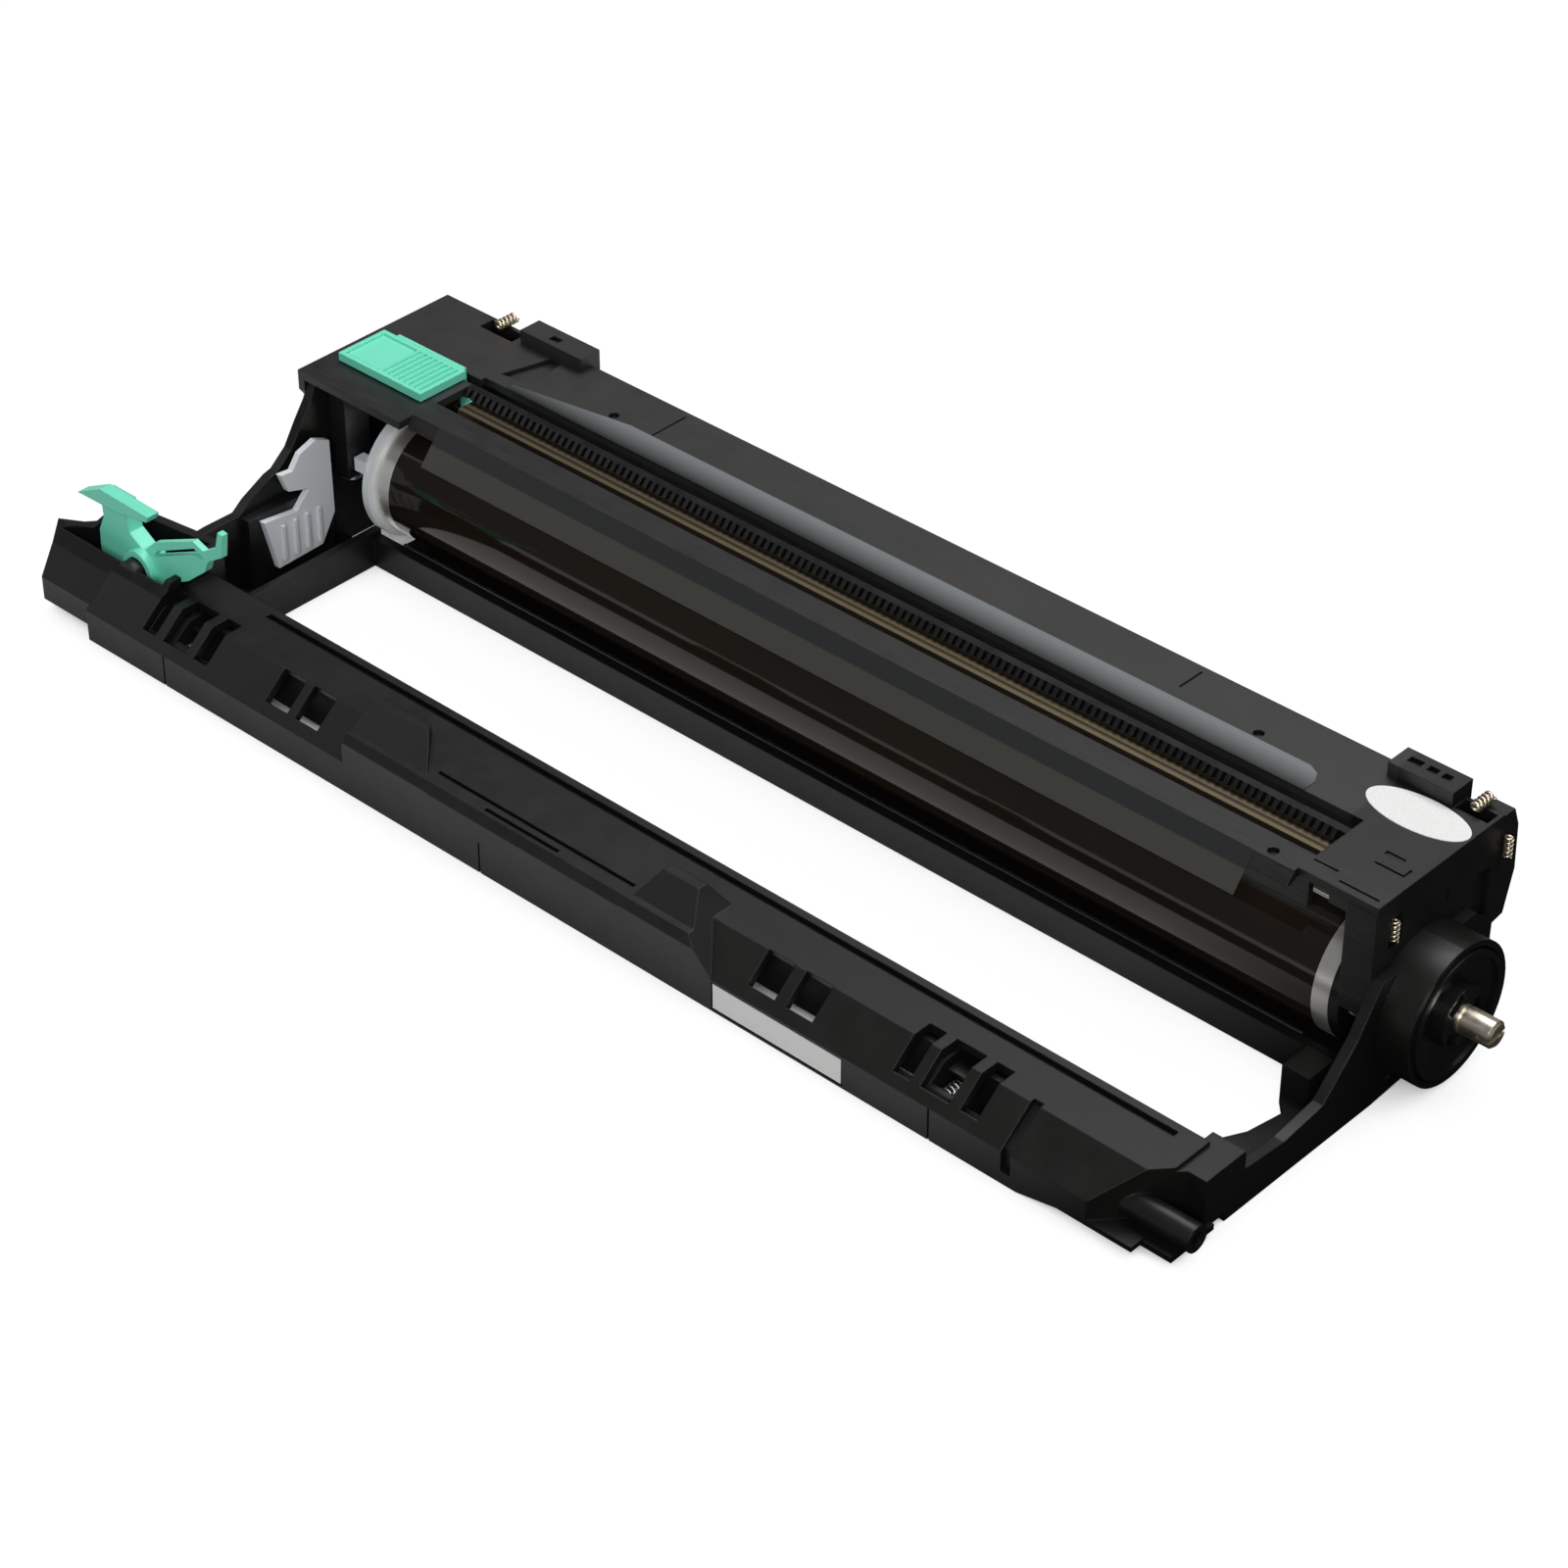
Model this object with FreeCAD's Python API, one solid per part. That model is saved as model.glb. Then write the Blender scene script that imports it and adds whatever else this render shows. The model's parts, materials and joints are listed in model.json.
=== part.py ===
import FreeCAD, Part
import math
import os

os.makedirs("parts", exist_ok=True)

V = FreeCAD.Vector

# Printer drum unit, in millimetres.
# X runs along the drum, Y from the handle beam to the rear, Z up from the table.

# Outer limits of the whole unit
unit_left = -21.0
unit_right = 325.0
unit_front = 0.0
unit_rear = 113.0

# General wall and fit sizes
wall = 2.0
running_gap = 0.05
slide_gap = 0.2
part_gap = 0.3
overlap = 0.5
coil_steps = 6

# Side plates
left_plate_x = 9.5
right_plate_x = 305.5
plate_thickness = 2.5

# Drum
drum_y = 82.0
drum_z = 17.5
drum_radius = 15.0
drum_tube_wall = 0.9
drum_left = 23.0
drum_right = 295.5
shaft_radius = 3.0
shaft_left = 8.2
shaft_slot_width = 1.0
shaft_slot_depth = 3.0
shaft_chamfer = 0.6
shaft_groove_left = 317.2
shaft_groove_width = 0.8
shaft_groove_radius = 2.4

# Drum flanges
flange_spigot_depth = 7.0
left_ring_radius = 16.7
left_ring_left = 21.2
left_hub_radius = 7.0
left_hub_left = 13.4
right_rim_radius = 14.9
right_rim_width = 2.5
key_width = 3.4
key_height = 3.0
key_length = 3.2
key_lift = 4.6

# Coupling disc and its round guard
disc_radius = 14.1
disc_left = 308.4
disc_right = 316.0
disc_rim_width = 1.3
disc_rim_depth = 0.8
disc_dish_depth = 1.8
disc_hub_radius = 6.7
disc_hub_height = 0.8
disc_slot_count = 3
disc_slot_width = 2.4
disc_slot_depth = 2.2
guard_outer_radius = 16.0
guard_inner_radius = 14.6
guard_right = 315.4

# Bushes in the side plates
bush_outer_radius = 5.0
bush_lip = 1.0

# Handle beam
beam_left = 0.3
beam_right = 302.0
beam_depth = 22.5
beam_height = 15.0
beam_front_height = 7.9
beam_chamfer_depth = 8.4
beam_hollow_left = 17.9
beam_hollow_right = 285.0
beam_step_left = 274.0
beam_step_right = 284.0
beam_step_height = 2.0
beam_groove_front = 19.0
beam_groove_width = 1.6
beam_groove_depth = 1.2
beam_groove_left = 40.0
beam_groove_right = 296.0
rib_thickness = 1.5
beam_web_front = 11.0
rib_positions = [46.0, 82.0, 118.0, 154.0, 190.0, 230.0]

# Hand grip between the two raised blocks of the beam
grip_left = 85.5
grip_right = 194.0
grip_front_height = 12.7
grip_lip = 1.2
raised_height = 19.4
raised_depth = 9.0
raised_top = 2.4
raised_front_height = 13.0
raised_back_depth = 14.0
left_raised_crest = 98.9
left_raised_foot = 112.0
right_raised_left = 168.6
right_raised_start = 172.4
right_raised_crest = 182.2
grip_groove_depth = 0.8
grip_groove_width = 0.9
grip_grooves = [(110.5, 168.0, 4.6), (127.0, 148.5, 2.2)]

# Seams in the front face of the beam, and the narrow notch round its chamfered edge
seam_positions = [26.5, 127.0, 251.5]
seam_width = 0.5
seam_depth = 0.3
seam_top = 7.8
notch_left = 270.0
notch_right = 272.4
notch_bottom = 3.0
notch_depth = 1.2

# Paired windows in the chamfered face of the beam
window_starts = [58.3, 67.9, 202.1, 212.2]
window_width = 7.2
window_front = 2.0
window_rear = 8.4

# Toner pressers in the beam
presser_centres = [29.2, 251.4]
presser_width = 5.6
presser_front = 9.2
presser_reach = 1.9
presser_bottom = 3.8
presser_head_room = 1.2
presser_collar_width = 2.6
presser_collar_height = 1.4
presser_recess_depth = 2.2
presser_recess_radius = 2.7
presser_seat = 5.4
presser_seat_bottom = 2.0
presser_seat_top = 8.8
presser_spring_radius = 2.2
presser_spring_wire = 0.5
presser_spring_turns = 4
slot_centres = [28.2, 251.4]
slot_front = 2.2
slot_rear = 13.0
side_slot_width = 4.4
middle_slot_width = 7.6
side_slot_offset = 8.6

# Right end of the beam
corner_cut_left = 290.5
corner_cut_right = 303.5
corner_cut_depth = 14.0
corner_cut_bottom = 3.2
nose_front = 12.0
nose_right = 308.0
nose_depth = 26.0
nose_height = 14.0
guide_boss_y = 7.5
guide_boss_z = 6.2
guide_boss_radius = 3.0
guide_boss_bore = 1.7
guide_boss_left = 292.0
guide_boss_right = 311.5
guide_boss_bore_left = 306.0
hook_plate_right = 309.0
hook_plate_front = 3.2
hook_plate_rear = 16.0
hook_plate_height = 1.4

# Left end of the beam with the lever pocket
end_block_right = 18.0
end_block_bottom = 2.5
end_block_front = 1.5
end_block_plan = [
    (-17.0, end_block_front),
    (unit_left, 10.8),
    (-13.0, 15.5),
    (-12.0, 23.0),
    (end_block_right, 26.5),
    (end_block_right, end_block_front),
]
end_block_section = [
    (end_block_front, end_block_bottom),
    (end_block_front, 8.5),
    (7.4, 13.9),
    (10.8, 18.0),
    (14.0, 18.0),
    (20.0, 20.5),
    (27.0, 21.5),
    (27.0, end_block_bottom),
]
pocket_floor = 4.0
pocket_plan = [
    (-19.0, 9.9),
    (-12.2, 13.6),
    (-10.2, 21.2),
    (16.2, 24.2),
    (16.2, 9.9),
]

# Toner bay and the arms round it
bay_left = 25.0
bay_right = 293.0
bay_rear = 64.5
rail_depth = 2.5
rail_height = 7.5
rail_lip_rear = 78.0
rail_lip_height = 1.2
bay_wall_height = 9.0
arm_floor = 2.0
left_arm_profile = [
    (beam_depth - wall, 0.0),
    (beam_depth - wall, 20.4),
    (28.3, 20.9),
    (36.5, 20.8),
    (39.5, 23.1),
    (46.3, 26.5),
    (48.6, 27.1),
    (53.1, 30.8),
    (56.4, 36.0),
    (59.6, 40.5),
    (61.6, 44.6),
    (70.0, 44.6),
    (72.0, 34.0),
    (95.8, 34.0),
    (95.8, 6.0),
    (90.0, 0.0),
]
right_arm_profile = [
    (beam_depth - wall, 0.0),
    (beam_depth - wall, 10.0),
    (38.0, 8.5),
    (50.0, 10.0),
    (60.0, 20.0),
    (66.5, 30.0),
    (97.0, 30.0),
    (100.0, 12.0),
    (88.0, 1.5),
    (66.0, 0.0),
]
right_arm_floor_plan = [
    (bay_right, beam_depth - wall),
    (bay_right, 35.0),
    (296.6, 42.0),
    (298.2, 51.0),
    (294.4, 55.0),
    (294.4, bay_rear + rail_depth),
    (right_plate_x + plate_thickness, bay_rear + rail_depth),
    (right_plate_x + plate_thickness, beam_depth - wall),
]
right_bracket_left = 294.4
right_bracket_right = 301.0
right_bracket_front = 55.0
right_bracket_rear = 63.0
right_bracket_height = 9.5
arm_hole_y = 70.8
arm_hole_z = 4.5
arm_hole_radius = 1.2
arm_hole_depth = 1.0
guide_rib_left = 11.9
guide_rib_front = 37.0
guide_rib_rear = 62.0
guide_rib_height = 20.0

# Screw seats between the frame and the housing
seat_bottom = 20.0
seat_top = 22.3
left_seat_x = 14.5
left_seat_y = 68.4
right_seat_x = 301.4
right_seat_y = 69.6
seat_half_width = 3.1
seat_half_depth = 3.6
screw_hole_radius = 1.25
screw_radius = 1.2
screw_length = 9.0
screw_head_radius = 2.4
screw_head_height = 1.6
screw_cross_width = 0.7
screw_cross_length = 3.0
screw_cross_depth = 0.8

# Upper housing
deck_top = 47.0
deck_thickness = 2.0
deck_left = 7.5
left_deck_front = 60.4
left_deck_right = 41.0
strip_front = 65.0
strip_rear = 71.8
strip_slope_depth = 2.2
right_deck_left = 286.5
right_deck_front = 66.2
rear_deck_front = 86.9
rear_wall_y = 107.0
cleaner_slot_front = 82.9
cleaner_slot_rear = 85.5
cleaner_slot_left = 13.6
charger_left = 41.0
charger_front_wall = 70.3
charger_front_wall_thickness = 1.5
charger_front_wall_bottom = 35.0
charger_rear_wall = 89.4
charger_rear_wall_bottom = 36.0
deck_bottom = deck_top - deck_thickness
trough_front = 99.0
trough_bend = 104.0
trough_floor = 6.0
trough_rise = 11.0
trough_section = [
    (rear_wall_y, deck_bottom),
    (rear_wall_y, trough_rise - wall / 2),
    (trough_bend + wall / 2, trough_floor - wall),
    (trough_front, trough_floor - wall),
    (trough_front, trough_floor),
    (trough_bend, trough_floor),
    (rear_wall_y - wall, trough_rise),
    (rear_wall_y - wall, deck_bottom),
]
side_wall_bottom = 24.4
side_foot_front = 96.4
side_foot_outline = [
    (side_foot_front, side_wall_bottom),
    (side_foot_front, trough_floor),
    (trough_bend, trough_floor),
    (rear_wall_y - wall, trough_rise),
    (rear_wall_y - wall, deck_bottom),
]
left_wall_front = 66.0
right_wall_front = 73.2
side_wall_section = [
    (left_deck_front, deck_bottom),
    (left_deck_front, 42.0),
    (left_wall_front, 34.0),
    (left_wall_front, side_wall_bottom),
] + side_foot_outline
right_wall_section = [
    (right_deck_front, deck_bottom),
    (right_deck_front, seat_top),
    (right_wall_front, seat_top),
    (right_wall_front, side_wall_bottom),
] + side_foot_outline

# Raised blocks on the deck
left_notch_left = 23.5
left_notch_right = 34.0
left_notch_front = 102.0
notch_rear_wall = 1.0
left_notch_floor = 43.4
valley_depth = 1.2
valley_outline = [(46.0, 103.0), (42.5, 90.4), (51.0, 92.0), (49.2, 103.0)]
clip_left = 36.0
clip_right = 55.5
clip_depth = 6.0
clip_stand_out = 2.0
clip_top = 50.5
clip_overhang = 41.0
right_block_left = 281.0
right_block_right = 296.6
right_block_depth = 6.6
right_block_stand_out = 1.4
right_block_top = 50.5
right_block_bottom = 41.0
right_notch_left = 297.0
right_notch_right = 304.6
right_notch_front = 102.4
right_notch_floor = 43.4
corner_left = 300.8
corner_front = 104.4
corner_outline = [
    (corner_front, 20.0),
    (110.5, 21.0),
    (unit_rear, 30.8),
    (112.4, 42.0),
    (110.6, 46.6),
    (corner_front, 46.6),
]
side_notch_front = 70.6
side_notch_rear = 74.8
side_notch_bottom = 34.4
side_notch_top = 41.6
side_notch_depth = 1.6
side_slot_front = 89.4
side_slot_bottom = 35.7
side_slot_top = 39.0
side_recess_depth = 1.0
side_recess_outline = [
    (98.4, 27.0),
    (99.6, 36.6),
    (104.0, 36.0),
    (104.0, 24.0),
]

# Shallow marks moulded into the deck and the rear blocks
mark_depth = 0.4
mark_width = 0.5
long_marks = [(287.0, 292.8, 70.2), (294.6, 304.0, 68.0), (296.0, 303.0, 77.4)]
cross_marks = [(85.8, 94.6, 105.3), (231.8, 98.0, 105.3), (302.6, 77.4, 80.2)]
deck_slot_left = 295.7
deck_slot_right = 300.2
deck_slot_front = 81.0
deck_slot_rear = 82.2
deck_holes = [(73.9, 95.0), (253.7, 96.1), (279.7, 67.2)]
deck_hole_radius = 1.2
deck_hole_depth = 1.0
block_pockets = [(283.4, 286.6), (288.0, 290.4), (291.6, 293.6), (43.5, 46.5)]
block_pocket_front = 104.6
block_pocket_rear = 106.4

# Charger pieces
wire_y = 82.0
wire_z = 39.5
wire_radius = 0.12
grid_thickness = 0.4
grid_front = 76.4
grid_top = 44.2
grid_top_rear = 82.6
grid_bottom = 35.0
grid_bottom_rear = 89.0
grid_left = 43.0
grid_right = 288.5
grid_slit_pitch = 9.0
grid_slit_width = 5.6
grid_slit_front = 77.6
grid_slit_rear = 87.0
comb_left = 41.0
comb_right = 286.5
comb_bar_front = 81.2
comb_bar_rear = 83.1
comb_bar_bottom = 44.4
comb_tooth_reach = 1.6
comb_tooth_pitch = 2.0
comb_tooth_width = 1.0
comb_tooth_drop = 1.6
comb_tooth_lift = 0.2
holder_width = 7.0
holder_left_x = 30.0
holder_front = 74.0
holder_rear = 88.6
holder_bottom = 35.4
wire_hole_radius = 0.6
wire_spring_radius = 1.4
wire_spring_wire = 0.4
wire_spring_turns = 4
wire_spring_length = 4.0

# Wire cleaner
tab_left = 11.5
tab_right = 38.5
tab_front = 69.4
tab_rear = 83.5
tab_thickness = 2.0
tab_rim = 1.2
tab_rib_count = 8
tab_rib_pitch = 1.7
tab_rib_width = 0.8
tab_pocket_depth = 0.5
tab_rib_right = 36.6
stem_front = 83.4
stem_rear = 85.0
stem_left = 15.0
stem_right = 37.0
stem_bottom = 37.4
cleaner_arm_left = 40.0
cleaner_arm_width = 6.0
pad_half_width = 1.5
pad_bottom = 38.2
pad_top = 41.0
arm_top = 42.2

# Cleaning roller
roller_y = 100.8
roller_z = 14.1
roller_radius = 3.9
roller_left = 26.0
roller_right = 292.0
roller_shaft_radius = 2.0
roller_shaft_end_gap = 0.4
bearing_width = 3.4
bearing_front = 97.2
bearing_rear = 104.6
bearing_bottom = 9.8
bearing_top = 18.4

# Earth contact
earth_thickness = 0.4
earth_width = 7.0
earth_top = 23.4
earth_foot = 2.0

# Coil contacts
coil_radius = 1.6
coil_wire = 0.6
coil_length = 5.4
rear_coil_length = 6.0
rear_coil_set_back = 4.3
left_coil_x = 28.6
right_coil_x = 301.0
coil_turns = 4
side_coil_radius = 1.3
side_coil_y = 107.4
side_coil_z = 37.0

# Films
film_thickness = 0.2
film_seat_gap = 0.02
front_film_left = 49.5
front_film_right = 277.0
front_film_free_y = 58.8
front_film_free_z = 39.6
rear_film_left = 48.0
rear_film_right = 272.0
rear_film_start = 80.0
rear_film_corner = 4.0
rear_film_back = 94.3
rear_film_front = 86.7

# Rail rod
rail_rod_radius = 0.75
rail_rod_left = 32.0
rail_rod_right = 290.0

# Toner guide
guide_left = 14.4
guide_thickness = 1.6
guide_outline = [
    (40.2, 18.9),
    (50.0, 17.6),
    (54.2, 21.8),
    (48.0, 23.8),
    (46.0, 28.8),
    (49.6, 28.4),
    (52.2, 31.8),
    (57.0, 33.4),
    (61.0, 31.6),
    (61.2, 12.5),
    (57.0, 5.6),
    (43.6, 5.2),
    (42.2, 11.0),
]
guide_rib_count = 4
guide_rib_pitch = 3.6
guide_rib_start = 45.0
guide_rib_width = 0.8
guide_rib_depth = 0.7
guide_mark_bottom = 7.0
guide_mark_top = 16.0

# Lock lever
lever_front = 12.0
lever_rear = 18.0
hub_x = 4.6
hub_z = 14.6
hub_radius = 4.9
hub_bore = 3.4
hub_pin_radius = 3.3
hub_pin_root = 2.6
pad_outline = [
    (-14.2, 27.4),
    (-6.0, 31.6),
    (10.5, 31.2),
    (9.8, 29.6),
    (-0.6, 27.8),
]
stem_outline = [
    (-8.6, 29.0),
    (-1.0, 29.0),
    (0.6, 22.0),
    (5.0, 19.2),
    (hub_x, 10.2),
    (-2.0, 9.6),
    (-9.0, 8.8),
    (-10.4, 13.0),
    (-10.2, 18.4),
    (-8.2, 22.6),
]
upper_arm_outline = [
    (5.0, 19.2),
    (9.0, 22.9),
    (22.6, 29.2),
    (26.0, 28.0),
    (30.4, 30.8),
    (31.6, 35.4),
    (33.2, 35.2),
    (32.4, 29.2),
    (27.2, 25.8),
    (22.8, 27.4),
    (9.8, 21.0),
    (7.0, 17.6),
]
fork_outline = [
    (6.4, 19.0),
    (9.4, 19.6),
    (22.4, 25.8),
    (27.8, 26.2),
    (26.6, 23.2),
    (20.4, 18.0),
    (5.4, 9.8),
]
hook_depth = 1.6
lever_pad_depth = 3.2
lever_spring_x = -8.6
lever_spring_y = 16.2
lever_spring_radius = 2.0
lever_spring_wire = 0.5
lever_spring_turns = 4
lever_spring_top = 9.0

# Labels
sticker_x = 293.0
sticker_y = 95.8
sticker_length = 24.0
sticker_width = 11.0
sticker_thickness = 0.15
label_left = 194.5
label_right = 229.0
label_bottom = 1.0
label_top = 7.0
label_margin = 0.4

# Values worked out from the ones above
centre_x = (unit_left + unit_right) / 2
centre_y = (unit_front + unit_rear) / 2
left_plate_inner = left_plate_x + plate_thickness
right_plate_outer = right_plate_x + plate_thickness
deck_right = right_plate_x
clip_rear = rear_wall_y + clip_stand_out
clip_front = clip_rear - clip_depth
right_block_rear = rear_wall_y + right_block_stand_out
right_block_front = right_block_rear - right_block_depth
presser_nose = beam_depth + presser_reach
presser_collar_rear = beam_depth - wall - part_gap
presser_collar_front = presser_collar_rear - presser_collar_width
presser_top = beam_height - wall - presser_head_room - presser_collar_height
chamfer_slope = (beam_height - beam_front_height) / beam_chamfer_depth


def block(x0, x1, y0, y1, z0, z1):
    """Box between two corners."""
    return Part.makeBox(x1 - x0, y1 - y0, z1 - z0, V(x0, y0, z0))


def outward(solid):
    """The same solid with its faces turned outwards."""
    if solid.Volume < 0:
        solid.reverse()
    return solid


def extrude(points, direction):
    """Solid from a closed outline of points, pushed along a direction."""
    wire = Part.makePolygon(points + [points[0]])
    return outward(Part.Face(wire).extrude(direction))


def prism_x(outline, x0, x1):
    """Solid with an outline of (y, z) points between two X positions."""
    return extrude([V(x0, y, z) for y, z in outline], V(x1 - x0, 0, 0))


def prism_y(outline, y0, y1):
    """Solid with an outline of (x, z) points between two Y positions."""
    return extrude([V(x, y0, z) for x, z in outline], V(0, y1 - y0, 0))


def prism_z(outline, z0, z1):
    """Solid with an outline of (x, y) points between two Z positions."""
    return extrude([V(x, y, z0) for x, y in outline], V(0, 0, z1 - z0))


def rod_x(x0, x1, y, z, radius):
    return Part.makeCylinder(radius, x1 - x0, V(x0, y, z), V(1, 0, 0))


def rod_y(y0, y1, x, z, radius):
    return Part.makeCylinder(radius, y1 - y0, V(x, y0, z), V(0, 1, 0))


def rod_z(z0, z1, x, y, radius):
    return Part.makeCylinder(radius, z1 - z0, V(x, y, z0), V(0, 0, 1))


def join(shapes):
    """One solid from several that touch or overlap."""
    return shapes[0].multiFuse(shapes[1:])


def cut(shape, tools):
    """One solid with each tool taken away in turn."""
    for tool in tools:
        shape = shape.cut(tool)
    return shape


def turned_x(profile, y, z):
    """Solid turned about an axis along X from a closed outline of (x, radius) points."""
    wire = Part.makePolygon([V(x, y, z + r) for x, r in profile + [profile[0]]])
    return outward(Part.Face(wire).revolve(V(0, y, z), V(1, 0, 0), 360))


def facet(points):
    return Part.Face(Part.makePolygon(points + [points[0]]))


def coil(radius, wire, turns, length, base, axis):
    """Coil spring of flat-sided wire, wound in straight steps from base along axis."""
    corners = [
        (radius - wire, -wire / 2),
        (radius, -wire / 2),
        (radius, wire / 2),
        (radius - wire, wire / 2),
    ]
    steps = turns * coil_steps
    sections = []
    for index in range(steps + 1):
        angle = 2 * math.pi * index / coil_steps
        middle = wire / 2 + (length - wire) * index / steps
        sections.append([
            V(reach * math.cos(angle), reach * math.sin(angle), middle + lift)
            for reach, lift in corners
        ])
    faces = [facet(sections[0]), facet(sections[-1])]
    for near, far in zip(sections[:-1], sections[1:]):
        for side in range(len(corners)):
            after = (side + 1) % len(corners)
            faces.append(facet([near[side], near[after], far[after]]))
            faces.append(facet([near[side], far[after], far[side]]))
    shell = Part.makeShell(faces)
    shell.sewShape()
    spring = outward(Part.makeSolid(shell))
    spring.Placement = FreeCAD.Placement(base, FreeCAD.Rotation(V(0, 0, 1), axis))
    return spring


def save(name, shape):
    """Write one piece, moved so that the origin is below the middle of the unit."""
    moved = shape.copy()
    moved.translate(V(-centre_x, -centre_y, 0))
    moved.exportStep("parts/" + name + ".step")


# Base frame
beam_outline = [
    (unit_front, 0.0),
    (unit_front, beam_front_height),
    (beam_chamfer_depth, beam_height),
    (beam_depth, beam_height),
    (beam_depth, 0.0),
]
hollow_outline = [
    (wall, -overlap),
    (wall, beam_front_height - wall * chamfer_slope / 2),
    (beam_chamfer_depth + wall / 2, beam_height - wall),
    (beam_depth - wall, beam_height - wall),
    (beam_depth - wall, -overlap),
]
rib_outline = [
    (wall, 0.0),
    (wall, beam_front_height - wall * chamfer_slope / 2),
    (beam_chamfer_depth + wall / 2, beam_height - wall),
    (beam_depth - wall, beam_height - wall),
    (beam_depth - wall, 0.0),
]
grip_outline = [
    (unit_front, 0.0),
    (unit_front, grip_front_height),
    (grip_lip, beam_height),
    (beam_chamfer_depth, beam_height),
    (beam_chamfer_depth, 0.0),
]
raised_outline = [
    (unit_front, beam_front_height),
    (unit_front, raised_front_height),
    (raised_depth, raised_height),
    (raised_depth + raised_top, raised_height),
    (raised_back_depth, beam_height),
    (raised_back_depth, beam_front_height),
]

beam = prism_x(beam_outline, beam_left, beam_right)
grip = prism_x(grip_outline, grip_left, grip_right)
left_raised = prism_x(raised_outline, grip_left, left_raised_foot)
left_fall = prism_z(
    [
        (left_raised_crest, raised_back_depth),
        (left_raised_foot, unit_front),
        (left_raised_foot + wall, unit_front),
        (left_raised_foot + wall, raised_back_depth + overlap),
        (left_raised_crest, raised_back_depth + overlap),
    ],
    beam_height,
    raised_height + overlap,
)
right_raised = prism_x(raised_outline, right_raised_left, grip_right)
right_rise = prism_y(
    [
        (right_raised_left, grip_front_height),
        (right_raised_left, raised_height),
        (right_raised_start, raised_height),
    ],
    unit_front - overlap,
    raised_back_depth + overlap,
)
right_fall = prism_y(
    [
        (right_raised_crest, raised_height),
        (grip_right, beam_front_height),
        (grip_right, raised_height),
    ],
    unit_front - overlap,
    raised_back_depth + overlap,
)
grip = join([grip, cut(left_raised, [left_fall]), cut(right_raised, [right_rise])])
grip = cut(grip, [right_fall])
end_block = prism_z(end_block_plan, end_block_bottom, deck_top).common(
    prism_x(end_block_section, unit_left, end_block_right)
)
nose = block(
    beam_right - wall, nose_right, nose_front, nose_depth, beam_step_height, nose_height
)

hollow = prism_x(hollow_outline, beam_hollow_left, beam_hollow_right)
ribs = [prism_x(rib_outline, x, x + rib_thickness) for x in rib_positions]
guide_inner = presser_width / 2 + part_gap
web_ends = [beam_hollow_left - overlap]
for centre in presser_centres:
    web_ends += [centre - guide_inner, centre + guide_inner]
web_ends.append(beam_hollow_right + overlap)
for start, end in zip(web_ends[::2], web_ends[1::2]):
    ribs.append(
        block(
            start,
            end,
            beam_web_front,
            beam_web_front + rib_thickness,
            beam_step_height,
            beam_height - wall + overlap,
        )
    )
for centre in presser_centres:
    ribs.append(prism_x(rib_outline, centre - guide_inner - rib_thickness, centre - guide_inner))
    ribs.append(prism_x(rib_outline, centre + guide_inner, centre + guide_inner + rib_thickness))
    ribs.append(
        block(
            centre - guide_inner,
            centre + guide_inner,
            wall - overlap,
            presser_seat,
            presser_seat_bottom,
            presser_seat_top,
        )
    )

left_arm = prism_x(left_arm_profile, left_plate_x, left_plate_inner)
right_arm = prism_x(right_arm_profile, right_plate_x, right_plate_outer)
left_floor = block(
    left_plate_x, bay_left, beam_depth - wall, bay_rear + rail_depth, 0.0, arm_floor
)
left_bay_wall = block(
    bay_left - wall, bay_left, beam_depth - wall, bay_rear + rail_depth, 0.0, bay_wall_height
)
guide_rib = block(
    guide_rib_left, guide_left, guide_rib_front, guide_rib_rear, 0.0, guide_rib_height
)
right_floor = prism_z(right_arm_floor_plan, 0.0, arm_floor)
right_bracket = block(
    right_bracket_left,
    right_bracket_right,
    right_bracket_front,
    right_bracket_rear,
    0.0,
    right_bracket_height,
)
rail = block(
    bay_left - wall, right_bracket_right, bay_rear, bay_rear + rail_depth, 0.0, rail_height
)
rail_lip = block(
    bay_left, right_bracket_right, bay_rear + wall, rail_lip_rear, 0.0, rail_lip_height
)
guard = rod_x(right_plate_x, guard_right, drum_y, drum_z, guard_outer_radius)
boss = rod_x(
    guide_boss_left, guide_boss_right, guide_boss_y, guide_boss_z, guide_boss_radius
)
hook_plate = block(
    corner_cut_left,
    hook_plate_right,
    hook_plate_front,
    hook_plate_rear,
    beam_step_height - overlap,
    beam_step_height - overlap + hook_plate_height,
)
left_seat = block(
    left_plate_x,
    left_seat_x + seat_half_width,
    left_seat_y - seat_half_depth,
    left_seat_y + seat_half_depth,
    seat_bottom,
    seat_top,
)
right_seat = block(
    right_seat_x - seat_half_width,
    right_plate_outer,
    right_seat_y - seat_half_depth,
    right_seat_y + seat_half_depth,
    seat_bottom,
    seat_top,
)

frame = join([
    beam,
    grip,
    end_block,
    nose,
])
frame = cut(frame, [hollow])
frame = join([frame] + ribs + [
    left_arm,
    right_arm,
    left_floor,
    left_bay_wall,
    guide_rib,
    right_floor,
    right_bracket,
    rail,
    rail_lip,
    guard,
    left_seat,
    right_seat,
])

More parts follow.
